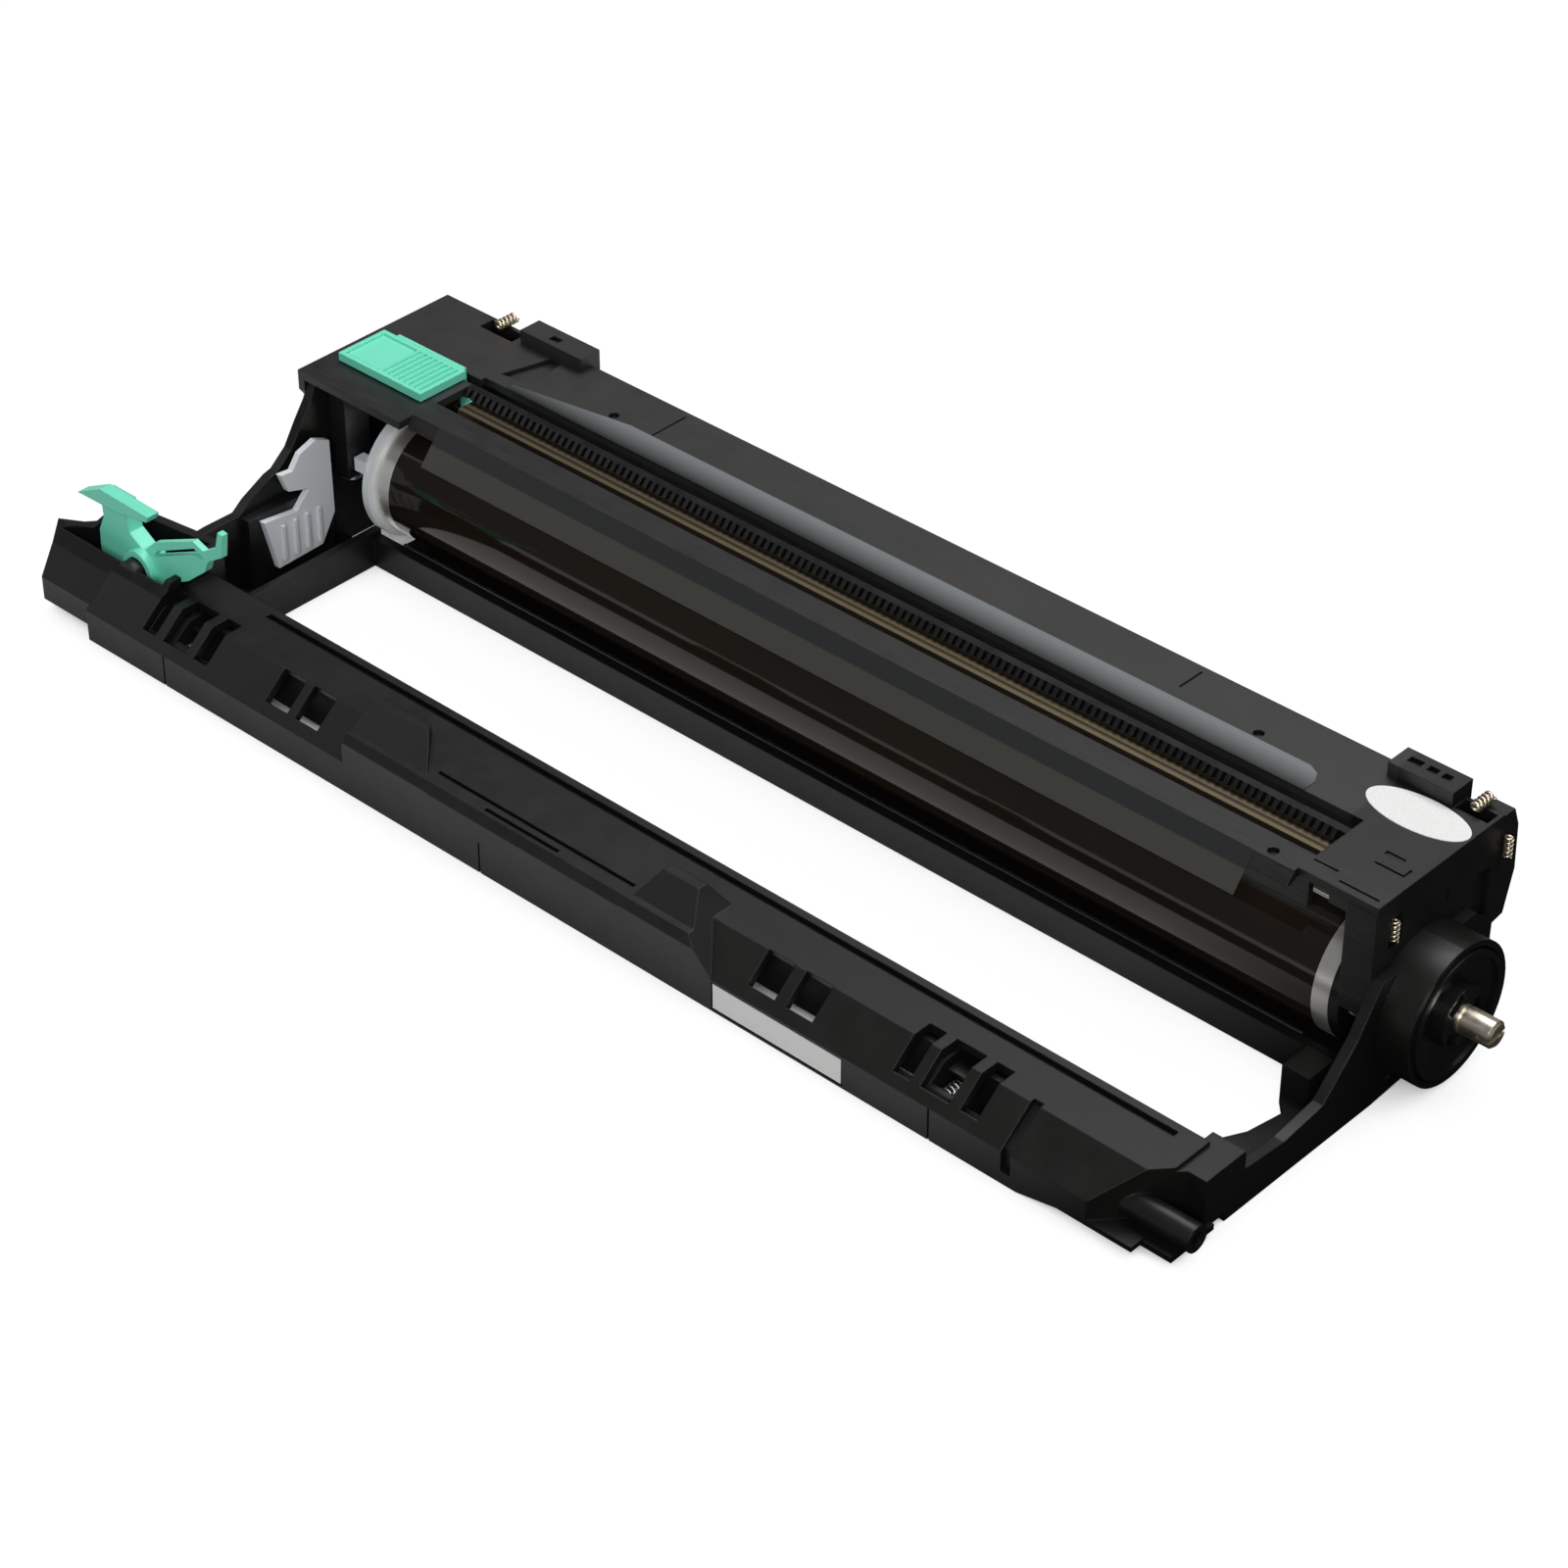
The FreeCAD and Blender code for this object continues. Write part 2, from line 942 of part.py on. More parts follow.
frame_cuts = [
    prism_z(pocket_plan, pocket_floor, deck_top),
    block(
        beam_groove_left,
        beam_groove_right,
        beam_groove_front,
        beam_groove_front + beam_groove_width,
        beam_height - beam_groove_depth,
        beam_height + overlap,
    ),
    rod_x(right_plate_outer, guard_right + overlap, drum_y, drum_z, guard_inner_radius),
    rod_x(right_plate_x - overlap, right_plate_outer + overlap, drum_y, drum_z, bush_outer_radius),
    rod_x(left_plate_x - overlap, left_plate_inner + overlap, drum_y, drum_z, bush_outer_radius),
    rod_z(seat_bottom - overlap, seat_top + overlap, left_seat_x, left_seat_y, screw_hole_radius),
    rod_z(
        seat_bottom - overlap, seat_top + overlap, right_seat_x, right_seat_y, screw_hole_radius
    ),
    prism_z(
        [
            (corner_cut_left, unit_front - overlap),
            (nose_right + overlap, unit_front - overlap),
            (nose_right + overlap, corner_cut_depth),
            (corner_cut_right, corner_cut_depth),
        ],
        corner_cut_bottom,
        beam_height + overlap,
    ),
    prism_y(
        [
            (beam_step_left, -overlap),
            (beam_step_left, 0.0),
            (beam_step_right, beam_step_height),
            (nose_right + overlap, beam_step_height),
            (nose_right + overlap, -overlap),
        ],
        unit_front - overlap,
        beam_depth - wall,
    ),
    prism_x(
        [
            (unit_front - overlap, notch_bottom),
            (notch_depth, notch_bottom),
            (notch_depth, beam_front_height),
            (beam_chamfer_depth + notch_depth, beam_height - notch_depth),
            (beam_chamfer_depth + notch_depth, beam_height + overlap),
            (unit_front - overlap, beam_height + overlap),
        ],
        notch_left,
        notch_right,
    ),
]
for left, right, front in grip_grooves:
    frame_cuts.append(
        block(
            left,
            right,
            front,
            front + grip_groove_width,
            beam_height - grip_groove_depth,
            beam_height + overlap,
        )
    )
for x in seam_positions:
    frame_cuts.append(
        block(x, x + seam_width, unit_front - overlap, unit_front + seam_depth, -overlap, seam_top)
    )
frame_cuts.append(
    rod_x(
        right_plate_outer - arm_hole_depth,
        right_plate_outer + overlap,
        arm_hole_y,
        arm_hole_z,
        arm_hole_radius,
    )
)
frame_cuts.append(
    block(
        label_left - label_margin,
        label_right + label_margin,
        unit_front - overlap,
        unit_front + sticker_thickness,
        label_bottom - label_margin,
        label_top + label_margin,
    )
)
frame_cuts.append(
    block(
        end_block_right - wall - overlap,
        end_block_right + overlap,
        lever_front + wall - part_gap,
        lever_rear - wall + part_gap,
        beam_height,
        deck_bottom,
    )
)
window_outline = [
    (window_front, beam_front_height + window_front * chamfer_slope + overlap),
    (window_rear, beam_front_height + window_rear * chamfer_slope + overlap),
    (window_rear + wall, beam_front_height + window_rear * chamfer_slope - 2 * wall),
    (window_front + wall, beam_front_height + window_front * chamfer_slope - wall),
]
for start in window_starts:
    frame_cuts.append(prism_x(window_outline, start, start + window_width))
slot_outline = [
    (slot_front, beam_front_height + slot_front * chamfer_slope - wall - overlap),
    (slot_front, beam_height + overlap),
    (slot_rear, beam_height + overlap),
    (slot_rear, beam_height - wall - overlap),
    (beam_chamfer_depth + overlap, beam_height - wall - overlap),
]
for centre in slot_centres:
    for offset, width in (
        (-side_slot_offset, side_slot_width),
        (0.0, middle_slot_width),
        (side_slot_offset, side_slot_width),
    ):
        middle = centre + offset
        frame_cuts.append(prism_x(slot_outline, middle - width / 2, middle + width / 2))
for centre in presser_centres:
    frame_cuts.append(
        block(
            centre - presser_width / 2 - slide_gap,
            centre + presser_width / 2 + slide_gap,
            beam_depth - wall - overlap,
            beam_depth + overlap,
            presser_bottom - slide_gap,
            presser_top + slide_gap,
        )
    )
frame = cut(frame, frame_cuts)
lever_pin = rod_y(lever_front - hub_pin_root, lever_rear, hub_x, hub_z, hub_pin_radius)
frame = join([frame, lever_pin, boss, hook_plate])
boss_bore = rod_x(
    guide_boss_bore_left,
    guide_boss_right + overlap,
    guide_boss_y,
    guide_boss_z,
    guide_boss_bore,
)
frame = cut(frame, [boss_bore])
save("base_frame", frame)

# Upper housing
film_slope = (deck_top - front_film_free_z) / (strip_front - front_film_free_y)
strip_slope_height = strip_slope_depth * film_slope
deck = block(deck_left, deck_right, left_deck_front, rear_wall_y, deck_bottom, deck_top)
strip = prism_x(
    [
        (strip_front, deck_top),
        (strip_front - strip_slope_depth, deck_top - strip_slope_height),
        (strip_front - strip_slope_depth + wall / 2, deck_bottom - wall / 2),
        (strip_front + wall / 2, deck_bottom),
        (strip_front + wall, deck_bottom),
        (strip_front + wall, deck_top),
    ],
    left_deck_right,
    right_deck_left,
)
deck = cut(deck, [
    block(
        left_deck_right,
        right_deck_left,
        left_deck_front - overlap,
        strip_front,
        deck_bottom - overlap,
        deck_top + overlap,
    ),
    block(
        right_deck_left - overlap,
        deck_right + overlap,
        left_deck_front - overlap,
        right_deck_front,
        deck_bottom - overlap,
        deck_top + overlap,
    ),
    block(
        charger_left,
        right_deck_left,
        strip_rear,
        rear_deck_front,
        deck_bottom - overlap,
        deck_top + overlap,
    ),
    block(
        cleaner_slot_left,
        charger_left + overlap,
        cleaner_slot_front,
        cleaner_slot_rear,
        deck_bottom - overlap,
        deck_top + overlap,
    ),
])
clip = block(clip_left, clip_right, clip_front, clip_rear, clip_overhang, clip_top)
right_block = block(
    right_block_left,
    right_block_right,
    right_block_front,
    right_block_rear,
    right_block_bottom,
    right_block_top,
)
corner = prism_x(corner_outline, corner_left, deck_right)
shelves = [
    block(
        left_notch_left - wall,
        left_notch_right + wall,
        left_notch_front - wall,
        rear_wall_y - wall,
        left_notch_floor - wall,
        deck_bottom,
    ),
    block(
        right_notch_left - wall,
        right_plate_x,
        right_notch_front - wall,
        rear_wall_y - wall,
        right_notch_floor - wall,
        deck_bottom,
    ),
]
charger_walls = [
    block(
        charger_left,
        right_deck_left,
        charger_front_wall,
        charger_front_wall + charger_front_wall_thickness,
        charger_front_wall_bottom,
        deck_bottom,
    ),
    block(
        charger_left,
        right_deck_left,
        charger_rear_wall,
        charger_rear_wall + wall,
        charger_rear_wall_bottom,
        deck_bottom,
    ),
]
seat_bosses = [
    block(
        left_plate_inner + slide_gap,
        left_seat_x + seat_half_width,
        left_seat_y - seat_half_depth,
        left_seat_y + seat_half_depth,
        seat_top,
        deck_bottom,
    ),
    block(
        right_seat_x - seat_half_width,
        right_plate_x,
        right_seat_y - seat_half_depth,
        right_seat_y + seat_half_depth,
        seat_top,
        deck_bottom,
    ),
]
housing = join(
    [deck, strip, clip, right_block, corner]
    + shelves
    + charger_walls
    + seat_bosses
    + [
        prism_x(trough_section, deck_left, right_plate_x),
        prism_x(side_wall_section, deck_left, left_plate_x),
        prism_x(right_wall_section, right_plate_x - wall, right_plate_x),
    ]
)
housing_cuts = [
    block(
        left_notch_left,
        left_notch_right,
        left_notch_front,
        rear_wall_y - notch_rear_wall,
        left_notch_floor,
        deck_top + overlap,
    ),
    block(
        right_notch_left,
        right_notch_right,
        right_notch_front,
        rear_wall_y - notch_rear_wall,
        right_notch_floor,
        deck_top + overlap,
    ),
    block(
        right_plate_x - side_notch_depth,
        right_plate_x + overlap,
        side_notch_front,
        side_notch_rear,
        side_notch_bottom,
        side_notch_top,
    ),
    prism_z(valley_outline, deck_top - valley_depth, deck_top + overlap),
]
housing_cuts += [
    block(
        right_plate_x - mark_depth,
        right_plate_x + overlap,
        side_slot_front,
        side_slot_front + mark_width,
        side_slot_bottom,
        side_slot_top,
    ),
    prism_x(side_recess_outline, right_plate_x - side_recess_depth, right_plate_x + overlap),
]
deck_marks = [(deck_slot_left, deck_slot_right, deck_slot_front, deck_slot_rear)]
for left, right, front in long_marks:
    deck_marks.append((left, right, front, front + mark_width))
for left, front, rear in cross_marks:
    deck_marks.append((left, left + mark_width, front, rear))
for left, right, front, rear in deck_marks:
    housing_cuts.append(block(left, right, front, rear, deck_top - mark_depth, deck_top + overlap))
for x, y in deck_holes:
    housing_cuts.append(
        rod_z(deck_top - deck_hole_depth, deck_top + overlap, x, y, deck_hole_radius)
    )
for left, right in block_pockets:
    housing_cuts.append(
        block(
            left,
            right,
            block_pocket_front,
            block_pocket_rear,
            clip_top - deck_hole_depth,
            clip_top + overlap,
        )
    )
for x, y in ((left_seat_x, left_seat_y), (right_seat_x, right_seat_y)):
    housing_cuts.append(rod_z(seat_top - overlap, seat_top + screw_length, x, y, screw_hole_radius))
housing = cut(housing, housing_cuts)
save("upper_housing", housing)

# Charger comb
comb_bar = block(
    comb_left, comb_right, comb_bar_front, comb_bar_rear, comb_bar_bottom, deck_top
)
tooth_outline = [
    (comb_bar_front, deck_top),
    (comb_bar_front - comb_tooth_reach, deck_top - comb_tooth_drop),
    (comb_bar_front, comb_bar_bottom + comb_tooth_lift),
]
tooth_count = int((comb_right - comb_left) / comb_tooth_pitch)
teeth = []
for index in range(tooth_count):
    start = comb_left + (comb_tooth_pitch - comb_tooth_width) / 2 + comb_tooth_pitch * index
    teeth.append(prism_x(tooth_outline, start, start + comb_tooth_width))
save("charger_comb", join([comb_bar] + teeth))

# Charge grid
grid_outline = [
    (grid_top_rear, grid_top),
    (grid_front, grid_top),
    (grid_front, grid_bottom),
    (grid_bottom_rear, grid_bottom),
    (grid_bottom_rear, grid_bottom + grid_thickness),
    (grid_front + grid_thickness, grid_bottom + grid_thickness),
    (grid_front + grid_thickness, grid_top - grid_thickness),
    (grid_top_rear, grid_top - grid_thickness),
]
grid = prism_x(grid_outline, grid_left, grid_right)
slit_count = int((grid_right - grid_left) / grid_slit_pitch)
slits = []
for index in range(slit_count):
    start = grid_left + (grid_slit_pitch - grid_slit_width) / 2 + grid_slit_pitch * index
    slits.append(
        block(
            start,
            start + grid_slit_width,
            grid_slit_front,
            grid_slit_rear,
            grid_bottom - overlap,
            grid_bottom + grid_thickness + overlap,
        )
    )
save("charge_grid", grid.cut(slits))

# Wire holders, corona wire and its spring
holder_right_x = grid_right + part_gap
left_holder = block(
    holder_left_x,
    holder_left_x + holder_width,
    holder_front,
    cleaner_slot_front - part_gap,
    holder_bottom,
    deck_bottom,
)
left_wire_hole = rod_x(
    holder_left_x + wall, holder_left_x + holder_width + overlap, wire_y, wire_z, wire_hole_radius
)
save("left_wire_holder", left_holder.cut(left_wire_hole))
right_holder = block(
    holder_right_x,
    holder_right_x + holder_width,
    holder_front,
    holder_rear,
    holder_bottom,
    deck_bottom,
)
spring_pocket = rod_x(
    holder_right_x - overlap,
    holder_right_x + holder_width - wall,
    wire_y,
    wire_z,
    wire_spring_radius + part_gap,
)
save("right_wire_holder", right_holder.cut(spring_pocket))
wire_left = holder_left_x + wall
wire_right = holder_right_x + part_gap
save("corona_wire", rod_x(wire_left, wire_right, wire_y, wire_z, wire_radius))
save(
    "wire_spring",
    coil(
        wire_spring_radius,
        wire_spring_wire,
        wire_spring_turns,
        wire_spring_length,
        V(wire_right + part_gap, wire_y, wire_z),
        V(1, 0, 0),
    ),
)

# Wire cleaner
tab_bottom = deck_top + slide_gap
tab_top = tab_bottom + tab_thickness
tab = block(tab_left, tab_right, tab_front, tab_rear, tab_bottom, tab_top).cut(
    block(
        tab_left + tab_rim,
        tab_right - tab_rim,
        tab_front + tab_rim,
        tab_rear - tab_rim,
        tab_top - tab_pocket_depth,
        tab_top + overlap,
    )
)
tab_pieces = [tab]
for index in range(tab_rib_count):
    right = tab_rib_right - tab_rib_pitch * index
    tab_pieces.append(
        block(
            right - tab_rib_width,
            right,
            tab_front + tab_rim / 2,
            tab_rear - tab_rim / 2,
            tab_top - tab_pocket_depth - overlap,
            tab_top,
        )
    )
tab_pieces.append(
    block(stem_left, stem_right, stem_front, stem_rear, tab_bottom, tab_top - tab_pocket_depth)
)
tab_pieces.append(
    block(stem_left, stem_right, stem_front, stem_rear, arm_top, tab_bottom + overlap)
)
tab_pieces.append(
    block(
        stem_left,
        cleaner_arm_left + cleaner_arm_width,
        stem_front,
        stem_rear,
        stem_bottom,
        arm_top,
    )
)
tab_pieces.append(
    block(
        cleaner_arm_left,
        cleaner_arm_left + cleaner_arm_width,
        wire_y - pad_half_width,
        stem_rear,
        pad_top,
        arm_top,
    )
)
save("wire_cleaner_tab", join(tab_pieces))
cleaner_pad = block(
    cleaner_arm_left + slide_gap,
    cleaner_arm_left + cleaner_arm_width - slide_gap,
    wire_y - pad_half_width,
    stem_front - slide_gap,
    pad_bottom,
    pad_top,
)
pad_slit = block(
    cleaner_arm_left,
    cleaner_arm_left + cleaner_arm_width,
    wire_y - wire_radius - running_gap,
    wire_y + wire_radius + running_gap,
    pad_bottom - overlap,
    wire_z + wire_radius + running_gap,
)
save("wire_cleaner_pad", cleaner_pad.cut(pad_slit))

# Drum tube
tube = rod_x(drum_left, drum_right, drum_y, drum_z, drum_radius)
tube_bore = rod_x(
    drum_left - overlap, drum_right + overlap, drum_y, drum_z, drum_radius - drum_tube_wall
)
save("drum_tube", tube.cut(tube_bore))

# Drum flanges
spigot_radius = drum_radius - drum_tube_wall - running_gap
shaft_bore_radius = shaft_radius + running_gap
left_flange = turned_x(
    [
        (left_hub_left, shaft_bore_radius),
        (left_hub_left, left_hub_radius),
        (left_ring_left, left_hub_radius),
        (left_ring_left, left_ring_radius),
        (drum_left, left_ring_radius),
        (drum_left, spigot_radius),
        (drum_left + flange_spigot_depth, spigot_radius),
        (drum_left + flange_spigot_depth, shaft_bore_radius),
    ],
    drum_y,
    drum_z,
)
flange_key = block(
    left_ring_left - key_length,
    left_ring_left + overlap,
    drum_y - left_ring_radius + wall / 2,
    drum_y - left_ring_radius + wall / 2 + key_height,
    drum_z + key_lift,
    drum_z + key_lift + key_width,
)
save("left_drum_flange", join([left_flange, flange_key]))
right_flange = turned_x(
    [
        (drum_right - flange_spigot_depth, shaft_bore_radius),
        (drum_right - flange_spigot_depth, spigot_radius),
        (drum_right, spigot_radius),
        (drum_right, right_rim_radius),
        (drum_right + right_rim_width, right_rim_radius),
        (drum_right + right_rim_width, shaft_bore_radius),
    ],
    drum_y,
    drum_z,
)
save("right_drum_flange", right_flange)

# Drum shaft, with a groove for a retaining ring and a slotted end
shaft = turned_x(
    [
        (shaft_left, 0.0),
        (shaft_left, shaft_radius),
        (shaft_groove_left, shaft_radius),
        (shaft_groove_left, shaft_groove_radius),
        (shaft_groove_left + shaft_groove_width, shaft_groove_radius),
        (shaft_groove_left + shaft_groove_width, shaft_radius),
        (unit_right - shaft_chamfer, shaft_radius),
        (unit_right, shaft_radius - shaft_chamfer),
        (unit_right, 0.0),
    ],
    drum_y,
    drum_z,
)
shaft_slot = block(
    unit_right - shaft_slot_depth,
    unit_right + overlap,
    drum_y - shaft_radius - overlap,
    drum_y + shaft_radius + overlap,
    drum_z - shaft_slot_width / 2,
    drum_z + shaft_slot_width / 2,
)
save("drum_shaft", shaft.cut(shaft_slot))

# Coupling disc
disc = turned_x(
    [
        (disc_left, shaft_bore_radius),
        (disc_left, disc_radius),
        (disc_right, disc_radius),
        (disc_right, disc_radius - disc_rim_width),
        (disc_right - disc_rim_depth, disc_radius - disc_rim_width),
        (disc_right - disc_dish_depth, disc_hub_radius),
        (disc_right + disc_hub_height, disc_hub_radius),
        (disc_right + disc_hub_height, shaft_bore_radius),
    ],
    drum_y,
    drum_z,
)
disc_cuts = []
slot_middle = (shaft_radius + disc_hub_radius) / 2
for index in range(disc_slot_count):
    pocket = block(
        disc_right - disc_slot_depth,
        disc_right + disc_hub_height + overlap,
        drum_y + slot_middle - disc_slot_width / 2,
        drum_y + slot_middle + disc_slot_width / 2,
        drum_z - disc_slot_width,
        drum_z + disc_slot_width,
    )
    pocket.rotate(V(0, drum_y, drum_z), V(1, 0, 0), 360.0 * index / disc_slot_count)
    disc_cuts.append(pocket)
save("drum_coupling", cut(disc, disc_cuts))

# Bushes, each standing a little out of the inner side of its plate
for name, plate_face, bush_face in (
    ("left_drum_bush", left_plate_x, left_plate_inner + bush_lip),
    ("right_drum_bush", right_plate_outer, right_plate_x - bush_lip),
):
    bush = turned_x(
        [
            (plate_face, shaft_bore_radius),
            (plate_face, bush_outer_radius),
            (bush_face, bush_outer_radius),
            (bush_face, shaft_bore_radius),
        ],
        drum_y,
        drum_z,
    )
    save(name, bush)

# Earth contact on the left side plate
earth = block(
    shaft_left - part_gap - earth_thickness,
    shaft_left - part_gap,
    drum_y - earth_width / 2,
    drum_y + earth_width / 2,
    drum_z - earth_width / 2,
    earth_top,
)
earth_lug = block(
    shaft_left - part_gap - earth_thickness,
    left_plate_x,
    drum_y - earth_width / 2,
    drum_y + earth_width / 2,
    earth_top - earth_foot,
    earth_top,
)
save("earth_contact", join([earth, earth_lug]))

# Cleaning roller and its bearings
bearing_left_inner = left_plate_x
bearing_right_inner = right_plate_x - wall
roller_shaft = rod_x(
    bearing_left_inner + roller_shaft_end_gap,
    bearing_right_inner - roller_shaft_end_gap,
    roller_y,
    roller_z,
    roller_shaft_radius,
)
save("cleaning_roller_shaft", roller_shaft)
foam = rod_x(roller_left, roller_right, roller_y, roller_z, roller_radius)
foam_bore = rod_x(
    roller_left - overlap, roller_right + overlap, roller_y, roller_z, roller_shaft_radius
)
save("cleaning_roller", foam.cut(foam_bore))
for name, left in (
    ("left_roller_bearing", bearing_left_inner),
    ("right_roller_bearing", bearing_right_inner - bearing_width),
):
    bearing = block(
        left, left + bearing_width, bearing_front, bearing_rear, bearing_bottom, bearing_top
    )
    bore = rod_x(
        left - overlap,
        left + bearing_width + overlap,
        roller_y,
        roller_z,
        roller_shaft_radius + running_gap,
    )
    save(name, bearing.cut(bore))

# Coil contacts
contacts = (
    (
        "rear_left_contact",
        V(left_coil_x, rear_wall_y - rear_coil_set_back, deck_top + coil_radius),
        V(0, 1, 0),
        coil_radius,
        rear_coil_length,
    ),
    (
        "rear_right_contact",
        V(right_coil_x, rear_wall_y - rear_coil_set_back, deck_top + coil_radius),
        V(0, 1, 0),
        coil_radius,
        rear_coil_length,
    ),
    (
        "side_front_contact",
        V(
            right_plate_x - side_notch_depth + side_coil_radius,
            (side_notch_front + side_notch_rear) / 2,
            (side_notch_bottom + side_notch_top - coil_length) / 2,
        ),
        V(0, 0, 1),
        side_coil_radius,
        coil_length,
    ),
    (
        "side_rear_contact",
        V(deck_right + side_coil_radius, side_coil_y, side_coil_z),
        V(0, 0, 1),
        side_coil_radius,
        coil_length,
    ),
)
for name, base, axis, radius, length in contacts:
    save(name, coil(radius, coil_wire, coil_turns, length, base, axis))

# Front film, glued on the sloping edge of the strip
front_edge = V(0, front_film_free_y - strip_front, front_film_free_z - deck_top)
front_normal = V(0, front_edge.z, -front_edge.y)
front_normal.normalize()
front_normal_out = V(0, -abs(front_normal.y), abs(front_normal.z))
front_offset = front_normal_out * film_thickness
front_top = V(0, strip_front, deck_top) + front_normal_out * film_seat_gap
front_low = V(0, front_film_free_y, front_film_free_z) + front_normal_out * film_seat_gap
save(
    "front_film",
    prism_x(
        [
            (front_top.y, front_top.z),
            (front_low.y, front_low.z),
            (front_low.y + front_offset.y, front_low.z + front_offset.z),
            (front_top.y + front_offset.y, front_top.z + front_offset.z),
        ],
        front_film_left,
        front_film_right,
    ),
)

# Rear film, lying on the deck along the slot
save(
    "rear_film",
    prism_z(
        [
            (rear_film_left, rear_film_front),
            (rear_film_right, rear_film_front),
            (rear_film_right, rear_film_back - rear_film_corner),
            (rear_film_right - rear_film_corner / 3, rear_film_back - rear_film_corner / 3),
            (rear_film_right - rear_film_corner, rear_film_back),
            (rear_film_start, rear_film_back),
            (rear_film_left, rear_film_front + wall),
        ],
        deck_top,
        deck_top + film_thickness,
    ),
)

# Rail rod behind the bottom rail
save(
    "rail_rod",
    rod_x(
        rail_rod_left,
        rail_rod_right,
        bay_rear + rail_depth + rail_rod_radius,
        rail_height - rail_rod_radius,
        rail_rod_radius,
    ),
)

# Toner guide
guide = prism_x(guide_outline, guide_left, guide_left + guide_thickness)
guide_ribs = []
for index in range(guide_rib_count):
    y = guide_rib_start + guide_rib_pitch * index
    guide_ribs.append(
        block(
            guide_left + guide_thickness - overlap,
            guide_left + guide_thickness + guide_rib_depth,
            y,
            y + guide_rib_width,
            guide_mark_bottom,
            guide_mark_top,
        )
    )
save("toner_guide", join([guide] + guide_ribs))

# Lock lever
lever = join([
    prism_y(pad_outline, lever_front, lever_front + lever_pad_depth),
    prism_y(stem_outline, lever_front + wall, lever_rear),
    prism_y(upper_arm_outline, lever_rear - hook_depth - wall, lever_rear - wall),
    prism_y(fork_outline, lever_front + wall, lever_rear - wall),
    rod_y(lever_front, lever_rear, hub_x, hub_z, hub_radius),
])
hub_hole = rod_y(lever_front - overlap, lever_rear + overlap, hub_x, hub_z, hub_bore)
save("lock_lever", cut(lever, [hub_hole]))
save(
    "lock_lever_spring",
    coil(
        lever_spring_radius,
        lever_spring_wire,
        lever_spring_turns,
        lever_spring_top - pocket_floor - slide_gap,
        V(lever_spring_x, lever_spring_y, pocket_floor + slide_gap / 2),
        V(0, 0, 1),
    ),
)

# Toner pressers and their springs
presser_z = (presser_bottom + presser_top) / 2
for name, centre in zip(("left_presser", "right_presser"), presser_centres):
    presser = join([
        block(
            centre - presser_width / 2,
            centre + presser_width / 2,
            presser_front,
            presser_nose,
            presser_bottom,
            presser_top,
        ),
        block(
            centre - presser_width / 2,
            centre + presser_width / 2,
            presser_collar_front,
            presser_collar_rear,
            presser_bottom - presser_collar_height,
            presser_top + presser_collar_height,
        ),
    ])
    recess = rod_y(
        presser_front - overlap,
        presser_front + presser_recess_depth,
        centre,
        presser_z,
        presser_recess_radius,
    )
    save(name, presser.cut(recess))
    save(
        name + "_spring",
        coil(
            presser_spring_radius,
            presser_spring_wire,
            presser_spring_turns,
            presser_front + presser_recess_depth - presser_seat - slide_gap,
            V(centre, presser_seat + slide_gap / 2, presser_z),
            V(0, 1, 0),
        ),
    )

# Housing screws
screws = []
for x, y in ((left_seat_x, left_seat_y), (right_seat_x, right_seat_y)):
    head_bottom = seat_bottom - screw_head_height
    screw = join([
        rod_z(head_bottom, seat_bottom, x, y, screw_head_radius),
        rod_z(seat_bottom - overlap, seat_top + screw_length - overlap, x, y, screw_radius),
    ])
    slots = [
        block(
            x - screw_cross_length / 2,
            x + screw_cross_length / 2,
            y - screw_cross_width / 2,
            y + screw_cross_width / 2,
            head_bottom - overlap,
            head_bottom + screw_cross_depth,
        ),
        block(
            x - screw_cross_width / 2,
            x + screw_cross_width / 2,
            y - screw_cross_length / 2,
            y + screw_cross_length / 2,
            head_bottom - overlap,
            head_bottom + screw_cross_depth,
        ),
    ]
    screws.append(screw.cut(slots))
save("housing_screws", Part.makeCompound(screws))

# Labels
oval = Part.Ellipse(V(sticker_x, sticker_y, deck_top), sticker_length / 2, sticker_width / 2)
oval_face = Part.Face(Part.Wire(oval.toShape()))
save("oval_sticker", oval_face.extrude(V(0, 0, sticker_thickness)))
save(
    "beam_label",
    block(
        label_left,
        label_right,
        unit_front,
        unit_front + sticker_thickness,
        label_bottom,
        label_top,
    ),
)
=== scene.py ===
"""Looks for the printer drum unit: surfaces, wound springs, floor, camera and light."""
import json
import math

import bpy
from mathutils import Matrix, Vector

